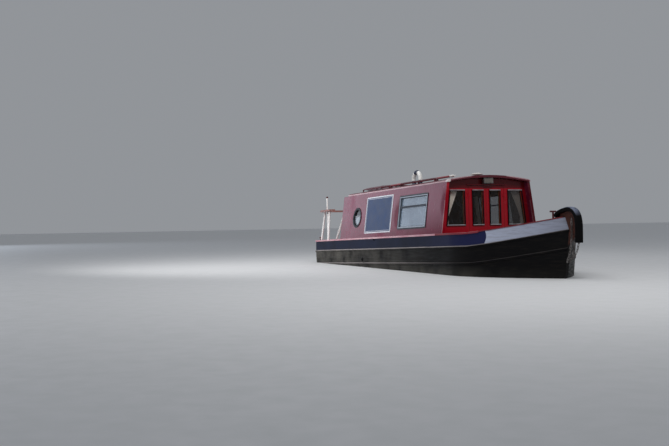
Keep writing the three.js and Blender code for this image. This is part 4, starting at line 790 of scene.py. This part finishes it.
# Section of the gunwale, an angle bar: distance outboard of the plating's edge, and height over it.
RIM = np.array([
    [0.0045, -0.012], [0.014, -0.012], [0.014, 0.015], [0.011, 0.018], [0.008, 0.018], [0.004, 0.014],
    [-0.151, 0.014], [-0.151, 0.0004], [0.0045, 0.0004]])
edge = plating(LEVELS[-1:], np.zeros(1), DECK_SHARE)[:, 0]
toward = edge - plating(LEVELS[-1:], np.full(1, PLATE), DECK_SHARE)[:, 0]
toward[:, 2] = 0
toward[:TRANSOM_N] = [-1, 0, 0]
toward /= np.linalg.norm(toward, axis=1, keepdims=True)
gunwale_ring = edge[:, None] + RIM[None, :, :1] * toward[:, None] + RIM[None, :, 1:] * [0, 0, 1.0]
gunwale_part = surface(gunwale_ring[:, ::-1], around=True, caps=True)


STUD_AT = (-3.760, -0.900, GUNWALE_Z)
STUD_TALL = 0.058


def mooring_stud(at, tall):
    """A column with a crossbar of round bar laid fore and aft, its ends domed and its foot spread by a
    weld."""
    x, y, z = at
    column = [[0, 0.021], [0.006, 0.0155], [tall, 0.015], [tall + 0.004, 0.008]]
    bar = [[-0.052, 0.006], [-0.048, 0.0125], [0.048, 0.0125], [0.052, 0.006]]
    return [turned(column, at, (0, 0, 1)), turned(bar, (x, y, z + tall), (1, 0, 0))]


for side, word in SIDES:
    piece(f"hull_plating_{word}", mirrored([hull_part], side), blacking,
          stands_for=[f"hull_side_{word}"], crease=25)
    piece(f"gunwale_rim_{word}", mirrored([gunwale_part], side), gunwale_enamel,
          stands_for=[f"gunwale_{word}"])
    stud = mooring_stud(STUD_AT, STUD_TALL)
    piece(f"stern_stud_{word}", mirrored(stud, side), fittings_red)

# Skin fittings: the engine's outlet and the deck drain

OUTLET_AT = (-1.368, HALF_BEAM - 0.0045, 0.192)
DRAIN_AT = (-0.799, HALF_BEAM - 0.0030, 0.560)
outlet = [
    [-0.002, 0.033], [0.006, 0.033], [0.010, 0.029], [0.010, 0.022], [-0.001, 0.020], [-0.001, 0.004]]
drain = [[-0.001, 0.021], [0.010, 0.019], [0.012, 0.016], [0.001, 0.014], [0.001, 0.003]]
for side, word in SIDES:
    fittings = [turned(profile, (x, side * y, z), (0, side, 0))
                for profile, (x, y, z) in ((outlet, OUTLET_AT), (drain, DRAIN_AT))]
    piece(f"skin_fittings_{word}", fittings, dark_trim)

# Bow fender: a rubber strip bent over the stem head, held down by a chain

FENDER = [
    [3.550, 0.806], [3.640, 0.851], [3.760, 0.879], [3.890, 0.891], [3.995, 0.856], [4.060, 0.775],
    [4.084, 0.670], [4.085, 0.560], [4.078, 0.390]]
fender_path = smooth([[x, 0, z] for x, z in FENDER], 90)
strip = oval(0.056, 0.033, 5.0, 40)
# Two grooves 4 mm deep in its outer face, each a bell curve 24 mm from the middle
groove = 0.004 * np.exp(-((np.abs(strip[:, 0]) - 0.024) / 0.006) ** 2)
strip[:, 1] -= np.where(strip[:, 1] > 0.02, groove, 0)
run = np.gradient(fender_path, axis=0)
outward = np.stack([-run[:, 2], np.zeros(len(run)), run[:, 0]], 1)
fender = swept(fender_path, strip, outward)
piece("bow_fender_strip", [fender], rubber, stands_for=["bow_fender"], crease=50)


WIRE_R = 0.0045


def chain(places, across, wire=WIRE_R, radius=0.0125, straight=0.0155):
    """Links of round bar along a smooth curve through places of (x, z), a way across the boat. Each link
    is two half circles whose centres lie 2 * straight apart, turned a right angle from the one before."""
    line = smooth([[x, across, z] for x, z in places], 400)
    length = np.concatenate([[0], np.cumsum(np.linalg.norm(np.diff(line, axis=0), axis=1))])
    count = math.ceil(length[-1] / (2 * (radius + straight - wire)))
    nearest = np.searchsorted(length, (np.arange(count) + 0.5) / count * length[-1])
    way = np.gradient(line, axis=0)[nearest]
    way /= np.linalg.norm(way, axis=1, keepdims=True)
    sideways = np.array([0, 1.0, 0])
    angle = np.linspace(0, 2 * np.pi, 16, endpoint=False)[:, None]
    bent = radius * np.cos(angle) + straight * np.sign(np.cos(angle))
    links = []
    for k in range(count):
        square = np.cross(way[k], sideways)
        wide, over = (sideways, square) if k % 2 else (square, sideways)
        loop = line[nearest[k]] + bent * way[k] + radius * np.sin(angle) * wide
        links.append(swept(loop, oval(wire, wire, 2, 8), over, closed=True))
    return links


STEM_EYE = (3.838, 0.150)
STEM_CHAIN = [
    (3.956, 0.742), (3.954, 0.620), (3.942, 0.480), (3.912, 0.330), (3.868, 0.205), (3.806, 0.112)]
FOOT_CHAIN = [(4.066, 0.372), (4.016, 0.262), (3.940, 0.184), STEM_EYE]
FOOT_PIN = (4.070, 0, 0.380)
STEM_CHAIN_Y, SIDE_EYE_Y = -0.0305, -0.0205
PIN = [[-0.014, 0.004], [-0.010, 0.010], [0.010, 0.010], [0.014, 0.004]]
pin = turned(PIN, FOOT_PIN, (0, 1, 0))
eye_at = (STEM_EYE[0] - 0.012, 0, STEM_EYE[1] - 0.001)
eye = wire_ring(eye_at, 0.014, WIRE_R, (0, 1, 0), (1, 0, 0))
piece("fender_chain", [*chain(FOOT_CHAIN, 0), pin, eye], chain_metal)
for side, word in SIDES:
    hung = chain(STEM_CHAIN, STEM_CHAIN_Y)
    hung += [wire_ring((x, SIDE_EYE_Y, z), 0.013, WIRE_R, (1, 0, 0), (0, 1, 0))
             for x, z in (STEM_CHAIN[0], STEM_CHAIN[-1])]
    piece(f"stem_chain_{word}", mirrored(hung, side), chain_metal)

# Window trims

def pane_trim(corners, x):
    """Pressed frame round a pane in the plane of a bulkhead: a stepped section run round the opening."""
    loop = rounded(corners, 0.012)
    step = np.roll(loop, -1, 0) - np.roll(loop, 1, 0)
    step /= np.linalg.norm(step, axis=1, keepdims=True)
    inward = np.stack([-step[:, 1], step[:, 0]], 1)
    section = np.array([
        [-0.002, 0.0004], [-0.002, 0.0050], [0.004, 0.0080],
        [0.018, 0.0080], [0.022, 0.0030], [0.022, 0.0004]])
    plane = loop[:, None] + section[None, :, :1] * inward[:, None]
    out = np.broadcast_to(x + section[None, :, 1:], plane.shape[:2] + (1,))
    return surface(np.concatenate([out, plane], axis=2)[:, ::-1], around=True, along=True)


def pane_bar(y0, y1, z, x):
    """A slim bar of half-round section along a pane's head or sill."""
    return swept(np.linspace([x, y0, z], [x, y1, z], 8), oval(0.008, 0.010, 2.6, 12), (0, 0, 1))


PANE_Z = (0.730, 1.331)
# Ends of the panes and of their bars across the boat, at the foot and at the head
PANE_Y = ((-0.778, -0.412), (-0.702, -0.412))
DOOR_PANE_Y = ((-0.277, -0.054), (-0.277, -0.054))
BAR_Y = ((-0.768, -0.420), (-0.696, -0.420))
DOOR_BAR_Y = ((-0.270, -0.061), (-0.270, -0.061))
BAR_Z = (PANE_Z[0] + 0.010, PANE_Z[1] - 0.008)
TRIM_X = FRONT_X + 0.0084
BAR_X = TRIM_X + 0.008
for side, word in SIDES:
    door = f"front_door_{word}"
    for name, (foot, head), body in (("pane", PANE_Y, "boat"), ("door", DOOR_PANE_Y, door)):
        corners = [(y, PANE_Z[0]) for y in foot] + [(y, PANE_Z[1]) for y in head[::-1]]
        trim = mirrored([pane_trim(corners, TRIM_X)], side)
        piece(f"{name}_trim_{word}", trim, dark_trim, body)
    for name, reaches, body in (("pane", BAR_Y, "boat"), ("door", DOOR_BAR_Y, door)):
        bars = [pane_bar(*reach, z, BAR_X) for reach, z in zip(reaches, BAR_Z)]
        piece(f"{name}_bars_{word}", mirrored(bars, side), light_trim, body)

# Door furniture

def lever_handle(x, y, z, outwards, towards):
    """A round plate, its spindle, and a lever that swells towards its end."""
    plate = [[0, 0.024], [0.004, 0.024], [0.007, 0.020], [0.008, 0.010]]
    spindle = [[0.004, 0.009], [0.040, 0.008], [0.043, 0.004]]
    lever = [[0.034, 0, 0], [0.038, 0.030, 0.002], [0.037, 0.065, 0], [0.032, 0.095, -0.004]]
    round_parts = [turned(profile, (x, y, z), (outwards, 0, 0)) for profile in (plate, spindle)]
    path = smooth(lever, 16) * [outwards, towards, 1] + [x, y, z]
    return [*round_parts, swept(path, oval(0.008, 0.0055, 2.4, 12), (outwards, 0, 0))]


HANDLE_Y = 0.030
CLEAR = 0.0004  # a fitting stands this far off what it is on
for side, word in SIDES:
    for end, outwards, face, z in (("front", 1, FRONT_X, 0.500), ("rear", -1, REAR_X, 1.095)):
        handle = lever_handle(face + outwards * CLEAR, side * HANDLE_Y, z, outwards, side)
        piece(f"{end}_handle_{word}", handle, brass, f"{end}_door_{word}")

# Curtains

CLOTH = 0.0012
FRONT_RAIL_X = FRONT_X - 0.068
SIDE_RAIL_IN = 0.066
# Where the two edges are and how high, at the top, the tie and the foot, and the cloth's flat size
FRONT_EDGES = ((0.505, 0.695), (0.705, 0.772), (0.695, 0.775))
FRONT_HEIGHTS = (1.343, 0.870, 0.740)
FRONT_CLOTH = (0.30, 0.62)
SIDE_EDGES = ((-0.170, -0.025), (-0.165, -0.055), (-0.165, -0.045))
SIDE_HEIGHTS = (1.318, 1.000, 0.730)
SIDE_CLOTH = (0.22, 0.60)
FRONT_PLEATS, SIDE_PLEATS = 6, 5


def curtain(name, edges, heights, pleats, placed, flat, softened=6):
    """A pleated curtain whose two edges run from the top to a tie and down to the foot, softened by
    passes of a running mean. The cloth waves `pleats` times across, and each wave is as deep as keeps
    the cloth's own width, since a sine of depth d over a span s is about sqrt(s^2 + (4 d)^2) long."""
    down = np.linspace(0, 1, 48)
    stops = (np.array(heights) - heights[0]) / (heights[-1] - heights[0])
    lines = np.array([np.interp(down, stops, places) for places in np.transpose(edges)])
    for _ in range(softened):
        lines[:, 1:-1] = (lines[:, :-2] + 2 * lines[:, 1:-1] + lines[:, 2:]) / 4
    inner, outer = lines
    height = heights[0] + (heights[-1] - heights[0]) * down
    u = np.linspace(0, 1, pleats * 10 + 1)
    along = inner[:, None] * (1 - u) + outer[:, None] * u
    width = np.abs(outer - inner)
    swing = np.sqrt(np.maximum(flat[0] ** 2 - width**2, 0))[:, None] / (4 * pleats)
    wave = swing * np.sin(2 * np.pi * pleats * u + 0.5 * np.sin(5 * down[:, None]))
    grid = placed(along, np.broadcast_to(height[:, None], along.shape), wave)
    uv = np.stack(np.meshgrid(u * flat[0], down * flat[1]), 2).reshape(-1, 2)
    made = piece(name, [surface(grid)], cotton, flat=uv, crease=180)
    made.modifiers.new("thickness", "SOLIDIFY").thickness = CLOTH


def by_front(side):
    """Places a front curtain's (across, height, wave) behind the bulkhead."""
    return lambda across, height, wave: np.stack([FRONT_RAIL_X + wave, side * across, height], 2)


def by_side(side):
    """Places a side curtain's (along, height, wave) inside the cabin wall."""
    return lambda along, height, wave: on_side(along, height, wave - SIDE_RAIL_IN, side)


for side, word in SIDES:
    curtain(f"front_curtain_{word}", FRONT_EDGES, FRONT_HEIGHTS, FRONT_PLEATS, by_front(side),
            FRONT_CLOTH)
    curtain(f"side_curtain_{word}", SIDE_EDGES, SIDE_HEIGHTS, SIDE_PLEATS, by_side(side),
            SIDE_CLOTH)

# Fittings on the cabin sides: sign boards, screws, seals and the porthole's hopper bar

board_paint = sign_enamel()
CORNERS = np.array([(-1, -1), (1, -1), (1, 1), (-1, 1)])
outline = rounded(CORNERS * SIGN_HALF, 0.014)
# Steps from the board's rim to its middle: share of the outline, and how far out it stands
steps = np.array([[1.0, 0.0006], [1.0, 0.0060], [0.996, 0.0078], [0.5, 0.0080], [0.02, 0.0080]])
board = outline[None] * steps[:, None, :1]
board_x, board_z = SIGN_MIDDLE[0] + board[..., 0], SIGN_MIDDLE[1] + board[..., 1] * math.cos(TUMBLEHOME)
rise = np.broadcast_to(steps[:, None, 1], board_x.shape)
# Screws, as (along, height, out): six in the sign, twelve round the porthole, seven over and under the
# window
SCREWS = [(SIGN_MIDDLE[0] + a * 0.545, SIGN_MIDDLE[1] + b * 0.318, 0.0085)
          for a in (-1, 0, 1) for b in (-1, 1)]
SCREWS += [(PORTHOLE[0] + 0.175 * math.cos(a), PORTHOLE[1] + 0.173 * math.sin(a), 0.0095)
           for a in np.linspace(0, 2 * np.pi, 12, endpoint=False)]
SCREWS += [(x, z, 0.0075) for x in np.linspace(-0.04, 1.01, 7) for z in (0.731, 1.306)]
SEAL = ((0.0000, -0.0235), (0.0000, -0.0160), (0.0055, -0.0120), (0.0085, -0.0175))  # inset, depth
SEAL_R = 0.1545
HOPPER_BAR_Z = 1.030
turn = np.linspace(0, 2 * np.pi, 48, endpoint=False)
window_middle, window_half = np.array(WINDOW).T
opening = rounded(window_middle + CORNERS * window_half, 0.010)
inwards = -np.sign(opening - opening.mean(axis=0))
for side, word in SIDES:
    placed = on_side(board_x, board_z, rise, side)
    faces = surface(placed if side < 0 else placed[:, ::-1], around=True, caps=True)
    uv = (board if side < 0 else board[:, ::-1]).reshape(-1, 2)
    piece(f"sign_board_{word}", [faces], board_paint, flat=uv)
    out = on_side(0, 1, 1, side) - on_side(0, 1, 0, side)
    piece(f"side_screws_{word}", screw_heads([on_side(*spot, side) for spot in SCREWS], out), zinc)
    hoop = np.stack([on_side(PORTHOLE[0] + (SEAL_R - inset) * np.cos(turn),
                             PORTHOLE[1] + (SEAL_R - inset) * 0.99 * np.sin(turn), depth, side)
                     for inset, depth in SEAL], 1)
    slot_seal = np.stack([on_side(*(opening + inset * inwards).T, depth, side)
                          for inset, depth in SEAL], 1)
    seals = [surface(grid if side > 0 else grid[:, ::-1], around=True, along=True)
             for grid in (hoop, slot_seal)]
    piece(f"glazing_seals_{word}", seals, seal_rubber)
    bar = on_side(PORTHOLE[0] + np.linspace(-0.151, 0.151, 6), HOPPER_BAR_Z, -0.013, side)
    piece(f"porthole_bar_{word}", [swept(bar, oval(0.009, 0.004, 3, 12), out)], light_trim)

# Lamp glass, hatch fittings and the lifebuoy

LENS_MIDDLE = np.array([0, 1.477])
LENS_HALF = np.array([0.080, 0.037])
LENS_X = 1.626
loop = rounded(LENS_MIDDLE + CORNERS * LENS_HALF, 0.014)
# Steps from the lens's rim to its middle: share of the outline, and how far forward it stands
bulge = [(1.0, CLEAR), (1.0, 0.0050), (0.96, 0.0080), (0.7, 0.0115), (0.35, 0.0135), (0.04, 0.0140)]
lens = np.stack([np.column_stack([np.full(len(loop), LENS_X + out),
                                  LENS_MIDDLE + (loop - LENS_MIDDLE) * share])
                 for share, out in bulge])
piece("headlamp_lens", [surface(lens, around=True, caps=True)], lens_glass)

PULL = [[0, -0.070, -0.014], [0, -0.060, 0.004], [0, 0, 0.010], [0, 0.060, 0.004], [0, 0.070, -0.014]]
PULL_AT = (-2.435, 0, 1.658)
pull = swept(smooth(PULL, 30) + PULL_AT, oval(0.007, 0.006, 2, 12), (1, 0, 0))
piece("sliding_hatch_pull", [pull], fittings_red, "sliding_hatch")
DISH = [[-0.001, 0.046], [0.003, 0.044], [0.0032, 0.020]]
DISH_X, DISH_Y, DISH_Z = -2.700, 0.220, 0.612
for side, word in SIDES:
    dish = turned(DISH, (DISH_X, side * DISH_Y, DISH_Z), (0, 0, 1))
    lift_ring = wire_ring((DISH_X, side * DISH_Y, DISH_Z + 0.007), 0.030, 0.004, (0, 0, 1), (1, 0, 0))
    piece(f"engine_hatch_ring_{word}", [dish, lift_ring], brass, "engine_hatch")
FINIAL_AT = (-3.440, -0.860, 1.478)
finial = [[0.0003, 0.018], [0.006, 0.021], [0.016, 0.023], [0.030, 0.017], [0.036, 0.006]]
piece("staff_finial", [turned(finial, FINIAL_AT, (0, 0, 1))], fittings_red)

turn = np.linspace(0, 2 * np.pi, 64, endpoint=False)
path = BUOY_AT + BUOY_R * np.stack([np.cos(turn), 0 * turn, np.sin(turn)], 1)
buoy = swept(path, oval(BUOY_TUBE_R, BUOY_TUBE_R, 2, 24), (0, 1.0, 0), closed=True)
piece("lifebuoy_float", [buoy], buoy_plastic, stands_for=["lifebuoy"])

# Stage and light

FLOOR_HALF = 60.0
SKY_COLOUR = (0.84, 0.88, 0.94, 1)
SKY_STRENGTH = 0.34
floor_paint = paint("pale_studio_floor", "#dfe0e2", "#dadcdd", 0.6, 0.4, 0.0005)
reach = FLOOR_HALF * CORNERS
ground = bpy.data.meshes.new("studio_floor")
ground.from_pydata(np.column_stack([reach, -TRIM * reach[:, 0]]), [], [(0, 1, 2, 3)])
ground.materials.append(floor_paint)
floor_object = bpy.data.objects.new("studio_floor", ground)
scene.collection.objects.link(floor_object)

world = bpy.data.worlds.new("studio")
world.use_nodes = True
sky = world.node_tree.nodes["Background"].inputs
sky["Color"].default_value = SKY_COLOUR
sky["Strength"].default_value = SKY_STRENGTH
scene.world = world


def softbox(name, at, aim, size, power, colour, spread=180):
    """A rectangular area light at a point, facing another, of a power in watts, its beam spread over an
    angle in degrees."""
    light = bpy.data.lights.new(name, "AREA")
    light.shape = "RECTANGLE"
    light.size, light.size_y = size
    light.energy = power
    light.color = colour
    light.spread = math.radians(spread)
    back = np.subtract(at, aim) / np.linalg.norm(np.subtract(at, aim))
    across = np.cross((0, 0, 1), back)
    across /= np.linalg.norm(across)
    stand(bpy.data.objects.new(name, light), across, np.cross(back, across), back, at)


BLUISH, WHITE, WARM = (0.86, 0.95, 1.09), (1.0, 0.99, 0.98), (1.0, 0.98, 0.96)
softbox("astern_box", (-24, -9.5, 5.9), (-1, -1, 1), (9, 6.8), 212, BLUISH)
softbox("quarter_box", (-1, -7, 4.5), (-3.6, -0.9, 1.0), (3, 2), 80, WHITE, spread=100)
softbox("front_box", (8.5, -1.9, 7.6), (2, 0, 0.9), (3.5, 2.5), 315, WARM)
softbox("overhead_box", (-1, -2, 9), (0, 0, 1), (10, 6), 220, WHITE)
